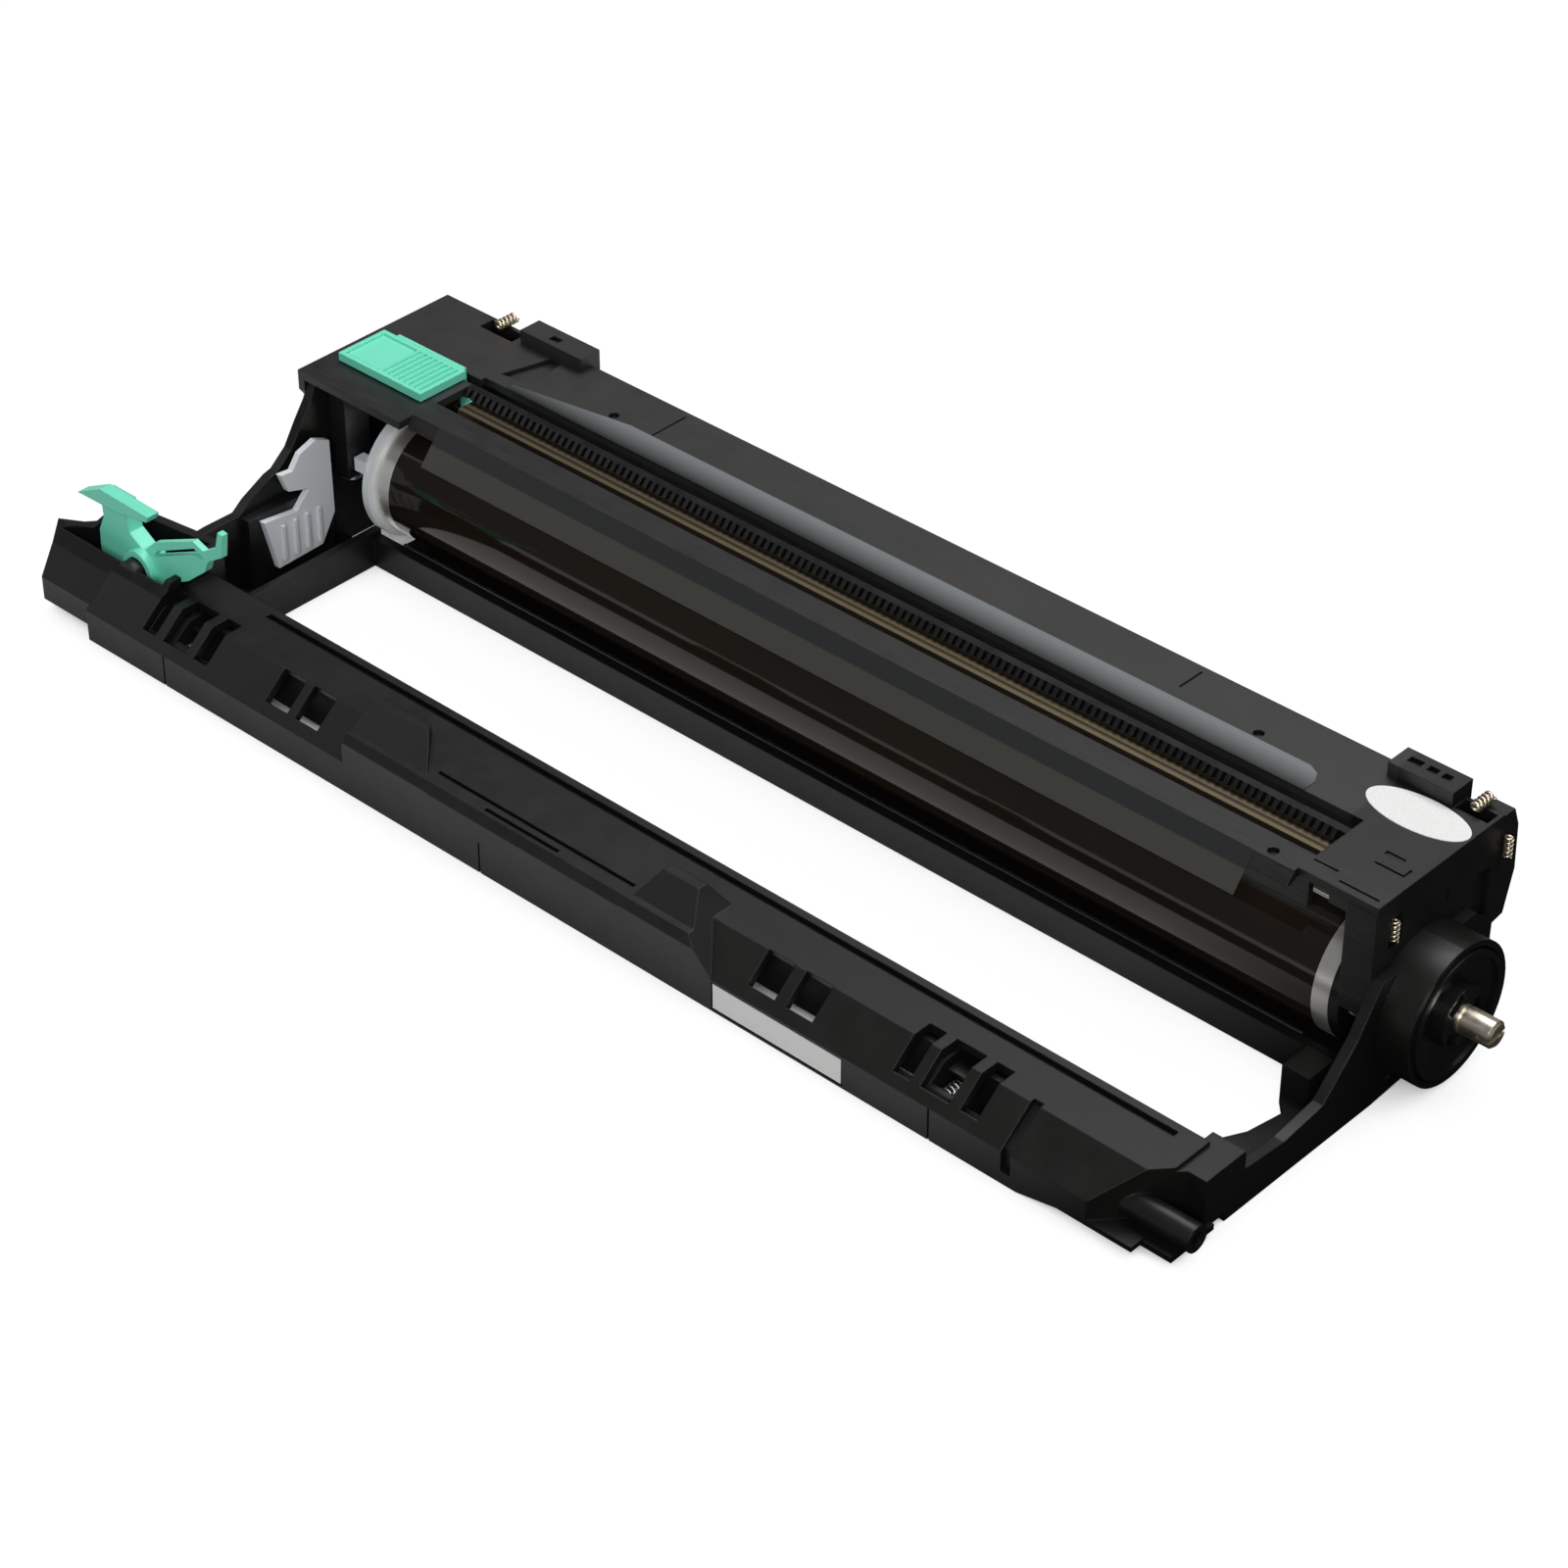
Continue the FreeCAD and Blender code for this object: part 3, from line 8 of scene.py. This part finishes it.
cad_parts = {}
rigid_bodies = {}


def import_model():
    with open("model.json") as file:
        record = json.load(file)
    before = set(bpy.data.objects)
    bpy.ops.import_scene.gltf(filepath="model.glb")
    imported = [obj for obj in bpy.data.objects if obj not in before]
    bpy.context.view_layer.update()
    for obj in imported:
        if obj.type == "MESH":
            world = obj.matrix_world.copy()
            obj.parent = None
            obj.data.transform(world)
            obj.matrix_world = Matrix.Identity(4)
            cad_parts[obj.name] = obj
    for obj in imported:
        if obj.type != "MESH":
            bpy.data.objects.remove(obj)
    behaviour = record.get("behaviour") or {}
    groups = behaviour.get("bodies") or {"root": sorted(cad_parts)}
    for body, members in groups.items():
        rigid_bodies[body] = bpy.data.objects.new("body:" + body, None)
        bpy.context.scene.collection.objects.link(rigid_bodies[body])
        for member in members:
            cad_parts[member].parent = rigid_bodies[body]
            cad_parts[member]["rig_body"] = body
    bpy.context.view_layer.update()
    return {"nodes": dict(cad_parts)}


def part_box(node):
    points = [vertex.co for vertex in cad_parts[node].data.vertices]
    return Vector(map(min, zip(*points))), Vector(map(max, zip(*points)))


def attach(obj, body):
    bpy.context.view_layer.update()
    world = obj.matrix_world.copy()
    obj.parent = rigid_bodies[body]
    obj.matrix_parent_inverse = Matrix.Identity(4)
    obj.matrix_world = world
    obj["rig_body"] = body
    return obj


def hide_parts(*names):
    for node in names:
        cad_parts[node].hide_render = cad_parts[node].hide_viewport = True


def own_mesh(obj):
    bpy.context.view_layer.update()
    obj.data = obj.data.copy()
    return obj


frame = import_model()

MM = 0.001

# Places on the unit where a finish changes, in mm of the shared frame
DRUM_COAT_LEFT_X = -123.8
DRUM_COAT_RIGHT_X = 139.5
DECK_STRIP_FROM_Y = 15.6
DECK_STRIP_TO_Y = 16.4
END_BLOCK_FROM_X = 131.0
END_BLOCK_TO_X = 132.0
FRONT_FILM_TONE_STEP_Z = 43.9
REAR_FILM_TONE_STEP_Y = 33.4
BLACK_CARD_FROM_X = 90.0
BLACK_CARD_TO_X = 140.0

# Studio paper: side in metres, how far it lies under the unit's feet, how far its shade reaches,
# how bright it looks, and how much of that the unit's gloss mirrors
PAPER_SIZE = 6.0
PAPER_GAP_MM = 0.2
PAPER_SHADE_MM = 30.0
PAPER_GLOW = 1.02
PAPER_MIRRORED = 0.55

# Camera, fitted to the photograph: place, the way back to it, its right and its lens in mm
CAMERA_PLACE = Vector((0.5039, -0.5313, 0.5399))
CAMERA_BACK = Vector((0.5501, -0.5911, 0.5899))
CAMERA_RIGHT = Vector((0.7319, 0.6814, 0.0))
LENS = 97.9
SENSOR = 36.0


def linear(code):
    """sRGB hex code as linear red, green, blue and full alpha."""
    parts = [int(code[start:start + 2], 16) / 255 for start in (1, 3, 5)]
    return tuple(p / 12.92 if p <= 0.04045 else ((p + 0.055) / 1.055) ** 2.4 for p in parts) + (1.0,)


def add_node(tree, kind, values=None, links=None, **settings):
    """One shader node with its settings, socket values and the sockets that feed it."""
    node = tree.nodes.new(kind)
    for name, value in settings.items():
        setattr(node, name, value)
    for socket, value in (values or {}).items():
        node.inputs[socket].default_value = value
    for socket, source in (links or {}).items():
        tree.links.new(source, node.inputs[socket])
    return node


def start_material(name):
    """A material with only its output, and the object point in millimetres."""
    material = bpy.data.materials.new(name)
    material.use_nodes = True
    tree = material.node_tree
    tree.nodes.clear()
    output = add_node(tree, "ShaderNodeOutputMaterial")
    place = add_node(tree, "ShaderNodeTexCoord")
    point = add_node(
        tree,
        "ShaderNodeVectorMath",
        {"Scale": 1 / MM},
        {0: place.outputs["Object"]},
        operation="SCALE",
    )
    return material, tree, output, point.outputs["Vector"]


def noise(tree, point, size_mm, detail=3.0, roughness=0.5):
    """Noise whose blobs are about size_mm across."""
    node = add_node(
        tree,
        "ShaderNodeTexNoise",
        {"Scale": 1 / size_mm, "Detail": detail, "Roughness": roughness},
        {"Vector": point},
    )
    return node.outputs["Fac"]


def spread(tree, source, low, high, start=0.3, end=0.7):
    """source from start to end, spread from low to high."""
    node = add_node(
        tree,
        "ShaderNodeMapRange",
        {"From Min": start, "From Max": end, "To Min": low, "To Max": high},
        {"Value": source},
    )
    return node.outputs["Result"]


def mix_colour(tree, share, first, second):
    """first where share is 0 and second where it is 1. Each is a colour or a socket."""
    node = add_node(tree, "ShaderNodeMix", data_type="RGBA")
    tree.links.new(share, node.inputs["Factor"])
    for socket, colour in ((6, first), (7, second)):
        if isinstance(colour, tuple):
            node.inputs[socket].default_value = colour
        else:
            tree.links.new(colour, node.inputs[socket])
    return node.outputs[2]


def compute(tree, operation, first, second=0.0):
    """A math node. Each side is a number or a socket."""
    node = add_node(tree, "ShaderNodeMath", operation=operation)
    for socket, side in ((0, first), (1, second)):
        if isinstance(side, (int, float)):
            node.inputs[socket].default_value = side
        else:
            tree.links.new(side, node.inputs[socket])
    return node.outputs[0]


def coordinate(tree, point, axis):
    """The object point's X, Y or Z in millimetres."""
    node = add_node(tree, "ShaderNodeSeparateXYZ", links={"Vector": point})
    return node.outputs[axis]


def bumped(tree, height, depth_mm, edge_mm=0.0):
    """Normal with height, 0 to 1, raised by depth_mm, on edges rounded by edge_mm."""
    node = add_node(
        tree,
        "ShaderNodeBump",
        {"Strength": 1.0, "Distance": depth_mm * MM},
        {"Height": height},
    )
    if edge_mm:
        edge = add_node(tree, "ShaderNodeBevel", {"Radius": edge_mm * MM}, samples=3)
        tree.links.new(edge.outputs["Normal"], node.inputs["Normal"])
    return node.outputs["Normal"]


def stretched_point(tree, point, factors):
    """The object point with each axis times its factor, so that a pattern on it draws out."""
    node = add_node(
        tree,
        "ShaderNodeVectorMath",
        {1: factors},
        {0: point},
        operation="MULTIPLY",
    )
    return node.outputs["Vector"]


def mix_surfaces(tree, output, share, first, second):
    """First shader where share is 0 and second where it is 1, as the material's surface."""
    both = add_node(tree, "ShaderNodeMixShader", links={0: share, 1: first, 2: second})
    tree.links.new(both.outputs["Shader"], output.inputs["Surface"])


def surface(tree, output, values, links):
    """The material's one shader, which is also given back."""
    shader = add_node(tree, "ShaderNodeBsdfPrincipled", values, links)
    tree.links.new(shader.outputs["BSDF"], output.inputs["Surface"])
    return shader


def painted_hollow_shade(tree, output, open_shader, hollow_mm):
    """Painted shade: in hollows about hollow_mm deep, found by ambient occlusion, a rough,
    near black shader is mixed in, and the eye gets flat black."""
    cover = add_node(tree, "ShaderNodeAmbientOcclusion", {"Distance": hollow_mm * MM}, samples=4)
    painted_shade = add_node(
        tree,
        "ShaderNodeBsdfPrincipled",
        {"Base Color": linear("#080808"), "Roughness": 0.9, "Specular IOR Level": 0.12, "IOR": 1.5},
    )
    painted_shade_share = spread(tree, cover.outputs["AO"], 1.0, 0.0, 0.25, 0.6)
    mix_surfaces(tree, output, painted_shade_share, open_shader.outputs["BSDF"], painted_shade.outputs["BSDF"])


def moulded_plastic(
    name, tone, flow_tone, roughness, grain_mm, grain_depth_mm, edge_mm=0.25, ior=1.54, hollow_mm=0.0
):
    """Injection moulded plastic: the tool's spark-eroded grain gives a fine satin, the flow of the
    melt a slow change of tone, and the tool's rounded edges a thin bright line."""
    material, tree, output, point = start_material(name)
    flow = noise(tree, point, 35.0, 2.0)
    grain = noise(tree, point, grain_mm, 3.0, 0.6)
    sheen = noise(tree, point, 6.0, 2.0)
    flow_share = spread(tree, flow, 0.0, 1.0)
    skin = surface(
        tree,
        output,
        {"IOR": ior, "Metallic": 0.0},
        {
            "Base Color": mix_colour(tree, flow_share, linear(tone), linear(flow_tone)),
            "Roughness": spread(tree, sheen, roughness - 0.04, roughness + 0.04),
            "Normal": bumped(tree, grain, grain_depth_mm, edge_mm),
        },
    )
    # Painted shade in the hollows
    if hollow_mm:
        painted_hollow_shade(tree, output, skin, hollow_mm)
    return material


def housing_plastic():
    """The upper housing's moulding: the deck behind the charger slot is painted grey, partly for its
    matt grain and partly as a painted sheen from the overhead lamp. Its right end block is darker,
    and so is the strip ahead of the slot, with streaks drawn along it."""
    material, tree, output, point = start_material("housing_black")
    across, along = coordinate(tree, point, "Y"), coordinate(tree, point, "X")
    ahead = spread(tree, across, 1.0, 0.0, DECK_STRIP_FROM_Y, DECK_STRIP_TO_Y)
    flow = spread(tree, noise(tree, point, 35.0, 2.0), 0.0, 1.0)
    end_block = spread(tree, along, 0.0, 1.0, END_BLOCK_FROM_X, END_BLOCK_TO_X)
    # Painted sheen: the deck's grey base stands partly for the overhead lamp's sheen, partly for its
    # matt grain
    grain_and_painted_sheen = mix_colour(tree, flow, linear("#262525"), linear("#2A2928"))
    deck = mix_colour(tree, end_block, grain_and_painted_sheen, linear("#0E0D0D"))
    drawn = stretched_point(tree, point, (0.06, 1.0, 1.0))
    streaks = spread(tree, noise(tree, drawn, 0.7, 3.0, 0.7), 0.0, 1.0, 0.4, 0.6)
    strip = mix_colour(tree, streaks, linear("#090908"), linear("#1A1918"))
    grain = noise(tree, point, 0.55, 3.0, 0.6)
    skin = surface(
        tree,
        output,
        {"IOR": 1.54, "Metallic": 0.0},
        {
            "Base Color": mix_colour(tree, ahead, deck, strip),
            "Roughness": spread(tree, noise(tree, point, 6.0, 2.0), 0.42, 0.5),
            "Normal": bumped(tree, grain, 0.018, 0.35),
        },
    )
    # Painted shade in hollows up to 8 mm deep
    painted_hollow_shade(tree, output, skin, 8.0)
    return material


def metal(name, tone, roughness, line_mm=0.0, line_axis="X", line_depth_mm=0.002, edge_mm=0.1):
    """Bare metal. Drawn, ground or turned stock keeps fine lines, which draw its highlights out."""
    material, tree, output, point = start_material(name)
    height = noise(tree, point, 0.5, 2.0)
    if line_mm:
        factors = tuple(1.0 if axis == line_axis else 0.02 for axis in "XYZ")
        height = noise(tree, stretched_point(tree, point, factors), line_mm, 4.0, 0.7)
    surface(
        tree,
        output,
        {"Base Color": linear(tone), "Metallic": 1.0, "IOR": 1.5},
        {
            "Roughness": spread(tree, noise(tree, point, 2.0), roughness - 0.05, roughness + 0.05),
            "Normal": bumped(tree, height, line_depth_mm, edge_mm),
        },
    )
    return material


def coated_drum():
    """Organic photoconductor: a dark brown charge layer under a clear, glass-smooth top coat,
    dipped on an aluminium tube whose turned ends stay bare and mirror the room."""
    material, tree, output, point = start_material("coated_drum")
    along = coordinate(tree, point, "X")
    left_end = compute(tree, "LESS_THAN", along, DRUM_COAT_LEFT_X)
    right_end = compute(tree, "GREATER_THAN", along, DRUM_COAT_RIGHT_X)
    bare = compute(tree, "ADD", left_end, right_end)
    slow = noise(tree, point, 60.0, 2.0)
    coat_tone = mix_colour(tree, spread(tree, slow, 0.0, 1.0), linear("#221B14"), linear("#1D1712"))
    coat = add_node(
        tree,
        "ShaderNodeBsdfPrincipled",
        {"Roughness": 0.08, "IOR": 1.46, "Coat Weight": 0.1, "Coat Roughness": 0.04, "Coat IOR": 1.5},
        {"Base Color": coat_tone},
    )
    rings = noise(tree, stretched_point(tree, point, (1.0, 0.02, 0.02)), 0.25, 3.0, 0.7)
    aluminium = add_node(
        tree,
        "ShaderNodeBsdfPrincipled",
        {"Base Color": linear("#FBF9F2"), "Metallic": 0.9, "Roughness": 0.3, "IOR": 1.5},
        {"Normal": bumped(tree, rings, 0.004)},
    )
    mix_surfaces(tree, output, bare, coat.outputs["BSDF"], aluminium.outputs["BSDF"])
    return material


def polyester_film(name, tone, far_tone, roughness, split_axis, split_at, blend_mm):
    """Polyester film: smooth and glossy on both faces, with a slight wave from its glue line. Its
    tone turns from tone to far_tone across blend_mm, centred at split_at along split_axis."""
    material, tree, output, point = start_material(name)
    along = coordinate(tree, point, split_axis)
    share = spread(tree, along, 0.0, 1.0, split_at - blend_mm / 2, split_at + blend_mm / 2)
    wave = noise(tree, stretched_point(tree, point, (0.12, 1.0, 1.0)), 6.0, 1.0)
    surface(
        tree,
        output,
        {"Roughness": roughness, "IOR": 1.64, "Metallic": 0.0},
        {
            "Base Color": mix_colour(tree, share, linear(tone), linear(far_tone)),
            "Normal": bumped(tree, wave, 0.03),
        },
    )
    return material


def gilded_grid():
    """Etched stainless sheet under a flash of gold: lengthwise etched lines show brown between
    soft warm reflections."""
    material, tree, output, point = start_material("gilded_grid")
    line_pitch_mm = 2.1
    lines = compute(tree, "MULTIPLY", coordinate(tree, point, "Y"), 2 * math.pi / line_pitch_mm)
    share = spread(tree, compute(tree, "SINE", lines), 0.0, 1.0, -0.6, 0.9)
    surface(
        tree,
        output,
        {"Metallic": 0.85, "Roughness": 0.42, "IOR": 1.5},
        {
            "Base Color": mix_colour(tree, share, linear("#766A56"), linear("#3A3327")),
            "Normal": bumped(tree, noise(tree, point, 0.4), 0.004, 0.1),
        },
    )
    return material


def label_stock(name, tone):
    """Coated paper: matt white with a faint fibre."""
    material, tree, output, point = start_material(name)
    fibre = noise(tree, point, 0.4, 4.0, 0.7)
    fibre_share = spread(tree, fibre, 0.0, 1.0)
    surface(
        tree,
        output,
        {"IOR": 1.5},
        {
            "Base Color": mix_colour(tree, fibre_share, linear(tone), linear("#EDEDEB")),
            "Roughness": spread(tree, fibre, 0.5, 0.62),
            "Normal": bumped(tree, fibre, 0.01),
        },
    )
    return material


def soft_foam():
    """Conductive polyurethane foam, ground round: dull black with open cells."""
    material, tree, output, point = start_material("soft_foam")
    cells_per_mm = 2.2
    cells = add_node(tree, "ShaderNodeTexVoronoi", {"Scale": cells_per_mm}, {"Vector": point})
    from_centre = cells.outputs["Distance"]
    surface(
        tree,
        output,
        {"Roughness": 0.95, "IOR": 1.45},
        {
            "Base Color": mix_colour(tree, from_centre, linear("#1D1D1E"), linear("#2B2B2C")),
            "Normal": bumped(tree, from_centre, 0.15),
        },
    )
    return material


def pressed_felt():
    """Pressed wool felt: off white and hairy."""
    material, tree, output, point = start_material("pressed_felt")
    hairs = noise(tree, point, 0.3, 5.0, 0.8)
    tone_share = spread(tree, hairs, 0.0, 1.0)
    surface(
        tree,
        output,
        {"Roughness": 1.0, "IOR": 1.4, "Sheen Weight": 0.3},
        {
            "Base Color": mix_colour(tree, tone_share, linear("#CFC9BC"), linear("#E4DFD3")),
            "Normal": bumped(tree, hairs, 0.2),
        },
    )
    return material


def paint(material, *names):
    """Give each CAD node that material in place of what it came with."""
    for name in names:
        mesh = frame["nodes"][name].data
        mesh.materials.clear()
        mesh.materials.append(material)


def smooth_round_faces(*names):
    """Round faces shade as round, while edges sharper than 30 degrees stay crisp."""
    for name in names:
        mesh = frame["nodes"][name].data
        mesh.set_sharp_from_angle(angle=math.radians(30))
        mesh.shade_smooth()


def wound_spring(node, axis, wire_mm, turns, material, steps_per_turn=24, wire_sides=8):
    """Round-wire coil that fills the CAD coil's box. Its end turns lie flat on its seats, and the
    eye gets open, even turns between them."""
    low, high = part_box(node)
    centre = (low + high) / 2
    across = [index for index in range(3) if index != axis]
    wire_radius = wire_mm * MM / 2
    reach = min(high[index] - low[index] for index in across) / 2 - wire_radius
    length = high[axis] - low[axis] - 2 * wire_radius
    steps = turns * steps_per_turn
    end_turn_share = 0.6 / turns
    even_rise_share = 0.15
    sections = []
    for index in range(steps + 1):
        share = index / steps
        angle = 2 * math.pi * turns * share
        rise = min(max((share - end_turn_share / 2) / (1 - end_turn_share), 0.0), 1.0)
        rise = (1 - even_rise_share) * rise + even_rise_share * share
        radial = Vector((0, 0, 0))
        radial[across[0]] = math.cos(angle)
        radial[across[1]] = math.sin(angle)
        middle = centre + radial * reach
        middle[axis] = low[axis] + wire_radius + length * rise
        along = Vector((0, 0, 0))
        along[axis] = 1.0
        ring = []
        for side in range(wire_sides):
            turn = 2 * math.pi * side / wire_sides
            ring.append(middle + (radial * math.cos(turn) + along * math.sin(turn)) * wire_radius)
        sections.append(ring)
    points = [point for ring in sections for point in ring]
    faces = []
    for index in range(steps):
        for side in range(wire_sides):
            after = (side + 1) % wire_sides
            here = index * wire_sides
            beyond = here + wire_sides
            faces.append((here + side, here + after, beyond + after, beyond + side))
    faces.append(tuple(range(wire_sides))[::-1])
    faces.append(tuple(steps * wire_sides + side for side in range(wire_sides)))
    mesh = bpy.data.meshes.new("wound_" + node)
    mesh.from_pydata([tuple(point) for point in points], [], faces)
    mesh.materials.append(material)
    mesh.shade_smooth()
    spring = bpy.data.objects.new("wound_" + node, mesh)
    bpy.context.scene.collection.objects.link(spring)
    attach(spring, frame["nodes"][node]["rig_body"])
    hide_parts(node)
    return spring


def pressed_spring(node, axis, wire_mm, turns):
    """Wound spring for a coil that its joint presses, with a mesh of its own."""
    spring = wound_spring(node, axis, wire_mm, turns, spring_wire)
    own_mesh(spring)
    return spring


# Plastics: two tones, then how rough, how grained and how rounded the moulding is, and how deep its
# hollows take painted shade
frame_black = moulded_plastic(
    "frame_black",
    "#0D0D0B",
    "#10100E",
    roughness=0.4,
    grain_mm=0.45,
    grain_depth_mm=0.012,
    edge_mm=0.45,
    ior=1.48,
    hollow_mm=30.0,
)
gloss_black = moulded_plastic(
    "gloss_black",
    "#090909",
    "#0B0B0B",
    roughness=0.3,
    grain_mm=0.8,
    grain_depth_mm=0.004,
    edge_mm=0.15,
    ior=1.54,
    hollow_mm=3.0,
)
acetal_black = moulded_plastic(
    "acetal_black",
    "#101010",
    "#131313",
    roughness=0.3,
    grain_mm=0.5,
    grain_depth_mm=0.005,
    edge_mm=0.45,
    ior=1.48,
    hollow_mm=2.5,
)
mint_green = moulded_plastic(
    "mint_green",
    "#72E0C0",
    "#78E4C6",
    roughness=0.42,
    grain_mm=0.5,
    grain_depth_mm=0.006,
    edge_mm=0.25,
)
pale_grey = moulded_plastic(
    "pale_grey",
    "#D6DADE",
    "#DEE2E6",
    roughness=0.38,
    grain_mm=0.5,
    grain_depth_mm=0.005,
    edge_mm=0.2,
    ior=1.48,
)

# Metals: fine lines lie one beside another along line_axis, so on a rod they run round it
spring_wire = metal("spring_wire", "#B8B8B6", roughness=0.28, line_mm=0.2, line_axis="Y")
plated_wire = metal("plated_wire", "#D9CDB4", roughness=0.30, line_mm=0.2, line_axis="Y")
ground_steel = metal("ground_steel", "#F2E8D6", roughness=0.36, line_mm=0.25, line_axis="X")
dull_steel = metal("dull_steel", "#5E5D5A", roughness=0.45, line_mm=0.25, line_axis="X")
zinc_steel = metal("zinc_steel", "#BFC1C3", roughness=0.4)

# Films: the front film is darker above a height, the rear film lighter towards the back
front_film = polyester_film(
    "front_film_grey",
    "#3A3A36",
    "#232425",
    roughness=0.3,
    split_axis="Z",
    split_at=FRONT_FILM_TONE_STEP_Z,
    blend_mm=0.3,
)
rear_film = polyester_film(
    "rear_film_grey",
    "#0E0E0F",
    "#707476",
    roughness=0.3,
    split_axis="Y",
    split_at=REAR_FILM_TONE_STEP_Y,
    blend_mm=6.5,
)

# Every piece and its surface
paint(frame_black, "base_frame")
paint(housing_plastic(), "upper_housing")
paint(gloss_black, "charger_comb", "left_wire_holder", "right_wire_holder")
paint(gloss_black, "left_presser", "right_presser")
paint(acetal_black, "left_drum_bush", "right_drum_bush")
paint(acetal_black, "left_roller_bearing", "right_roller_bearing")
paint(acetal_black, "drum_coupling", "right_drum_flange")
paint(pale_grey, "left_drum_flange", "toner_guide")
paint(mint_green, "wire_cleaner_tab", "lock_lever")
paint(pressed_felt(), "wire_cleaner_pad")
paint(soft_foam(), "cleaning_roller")
paint(coated_drum(), "drum_tube")
paint(gilded_grid(), "charge_grid")
paint(front_film, "front_film")
paint(rear_film, "rear_film")
paint(label_stock("sticker_white", "#D2D4D3"), "oval_sticker")
paint(label_stock("label_white", "#E2E3E2"), "beam_label")
paint(ground_steel, "drum_shaft", "cleaning_roller_shaft")
paint(dull_steel, "rail_rod")
paint(zinc_steel, "housing_screws", "earth_contact", "corona_wire")

smooth_round_faces(*frame["nodes"])

# Springs wound from round wire in place of the CAD coils
X_AXIS, Y_AXIS, Z_AXIS = 0, 1, 2
REAR_CONTACT_WIRE_MM = 0.8
SIDE_CONTACT_WIRE_MM = 0.5
PRESSED_WIRE_MM = 0.45
WIRE_SPRING_WIRE_MM = 0.35
for contact in ("rear_left_contact", "rear_right_contact"):
    wound_spring(contact, Y_AXIS, REAR_CONTACT_WIRE_MM, 5, plated_wire)
for contact in ("side_front_contact", "side_rear_contact"):
    wound_spring(contact, Z_AXIS, SIDE_CONTACT_WIRE_MM, 5, plated_wire)
pressed_spring("left_presser_spring", Y_AXIS, PRESSED_WIRE_MM, 5)
pressed_spring("right_presser_spring", Y_AXIS, PRESSED_WIRE_MM, 5)
pressed_spring("lock_lever_spring", Z_AXIS, PRESSED_WIRE_MM, 4)
wound_spring("wire_spring", X_AXIS, WIRE_SPRING_WIRE_MM, 6, spring_wire)


def white_floor():
    """Studio paper that looks white, to the eye and in the unit's gloss, save for a black card at
    its right. Only what the unit closely covers goes dark. In soft light the paper is grey, so it
    throws little light up into the blacks."""
    bpy.ops.mesh.primitive_plane_add(size=PAPER_SIZE, location=(0, 0, -PAPER_GAP_MM * MM))
    floor = bpy.context.object
    floor.name = "studio_floor"
    material, tree, output, point = start_material("studio_paper")
    ray = add_node(tree, "ShaderNodeLightPath")
    seen = ray.outputs["Is Camera Ray"]
    along = coordinate(tree, point, "X")
    card = spread(tree, along, 0.0, 1.0, BLACK_CARD_FROM_X, BLACK_CARD_TO_X)
    unseen_tone = mix_colour(tree, card, linear("#8C8C8C"), linear("#2A2A2A"))
    paper_tone = mix_colour(tree, seen, unseen_tone, linear("#F2F2F2"))
    paper = add_node(tree, "ShaderNodeBsdfDiffuse", links={"Color": paper_tone})
    glow = add_node(tree, "ShaderNodeEmission", {"Color": linear("#FFFFFF"), "Strength": PAPER_GLOW})
    reach = {"Distance": PAPER_SHADE_MM * MM}
    cover = add_node(tree, "ShaderNodeAmbientOcclusion", reach, samples=4)
    open_share = spread(tree, cover.outputs["AO"], 0.0, 0.95, 0.12, 0.35)
    beside_card = compute(tree, "MULTIPLY", compute(tree, "SUBTRACT", 1.0, card), PAPER_MIRRORED)
    mirrored = compute(tree, "MULTIPLY", ray.outputs["Is Glossy Ray"], beside_card)
    lit = compute(tree, "MULTIPLY", seen, open_share)
    share = compute(tree, "MAXIMUM", lit, mirrored)
    mix_surfaces(tree, output, share, paper.outputs["BSDF"], glow.outputs["Emission"])
    floor.data.materials.append(material)
    return floor


def studio_sky(strength):
    """Even grey room light, with plain white to the eye where the paper ends."""
    world = bpy.data.worlds.new("studio_sky")
    world.use_nodes = True
    tree = world.node_tree
    tree.nodes.clear()
    output = add_node(tree, "ShaderNodeOutputWorld")
    ray = add_node(tree, "ShaderNodeLightPath")
    level = spread(tree, ray.outputs["Is Camera Ray"], strength, 1.0, 0.0, 1.0)
    sky = add_node(tree, "ShaderNodeBackground", {"Color": (1, 1, 1, 1)}, {"Strength": level})
    tree.links.new(sky.outputs["Background"], output.inputs["Surface"])
    bpy.context.scene.world = world


def softbox(name, place, aim, width, height, watts):
    """Rectangular lamp at place, turned to aim, in metres."""
    light = bpy.data.lights.new(name, "AREA")
    light.shape = "RECTANGLE"
    light.size = width
    light.size_y = height
    light.energy = watts
    lamp = bpy.data.objects.new(name, light)
    lamp.location = place
    lamp.rotation_mode = "QUATERNION"
    lamp.rotation_quaternion = (Vector(aim) - Vector(place)).to_track_quat("-Z", "Y")
    bpy.context.scene.collection.objects.link(lamp)
    return lamp


# Light: a broad lamp over the rear, a smaller one in front, and a weak one at the left
UNIT_FOOT = (0, 0, 0)
white_floor()
studio_sky(0.1)
softbox("overhead_box", (0.05, 0.45, 1.4), UNIT_FOOT, width=1.6, height=0.9, watts=18.5)
softbox("front_box", (0.9, -1.3, 1.1), UNIT_FOOT, width=0.8, height=0.8, watts=20.0)
softbox("left_box", (-1.3, -0.5, 1.0), UNIT_FOOT, width=0.6, height=0.9, watts=1.5)

# Camera
camera_data = bpy.data.cameras.new("product_camera")
camera_data.sensor_width = SENSOR
camera_data.lens = LENS
camera = bpy.data.objects.new("product_camera", camera_data)
camera.rotation_mode = "QUATERNION"
back = CAMERA_BACK.normalized()
right = CAMERA_RIGHT.normalized()
up = back.cross(right)
camera.rotation_quaternion = Matrix((right, up, back)).transposed().to_quaternion()
camera.location = CAMERA_PLACE
bpy.context.scene.collection.objects.link(camera)
bpy.context.scene.camera = camera
bpy.context.scene.view_settings.view_transform = "Standard"
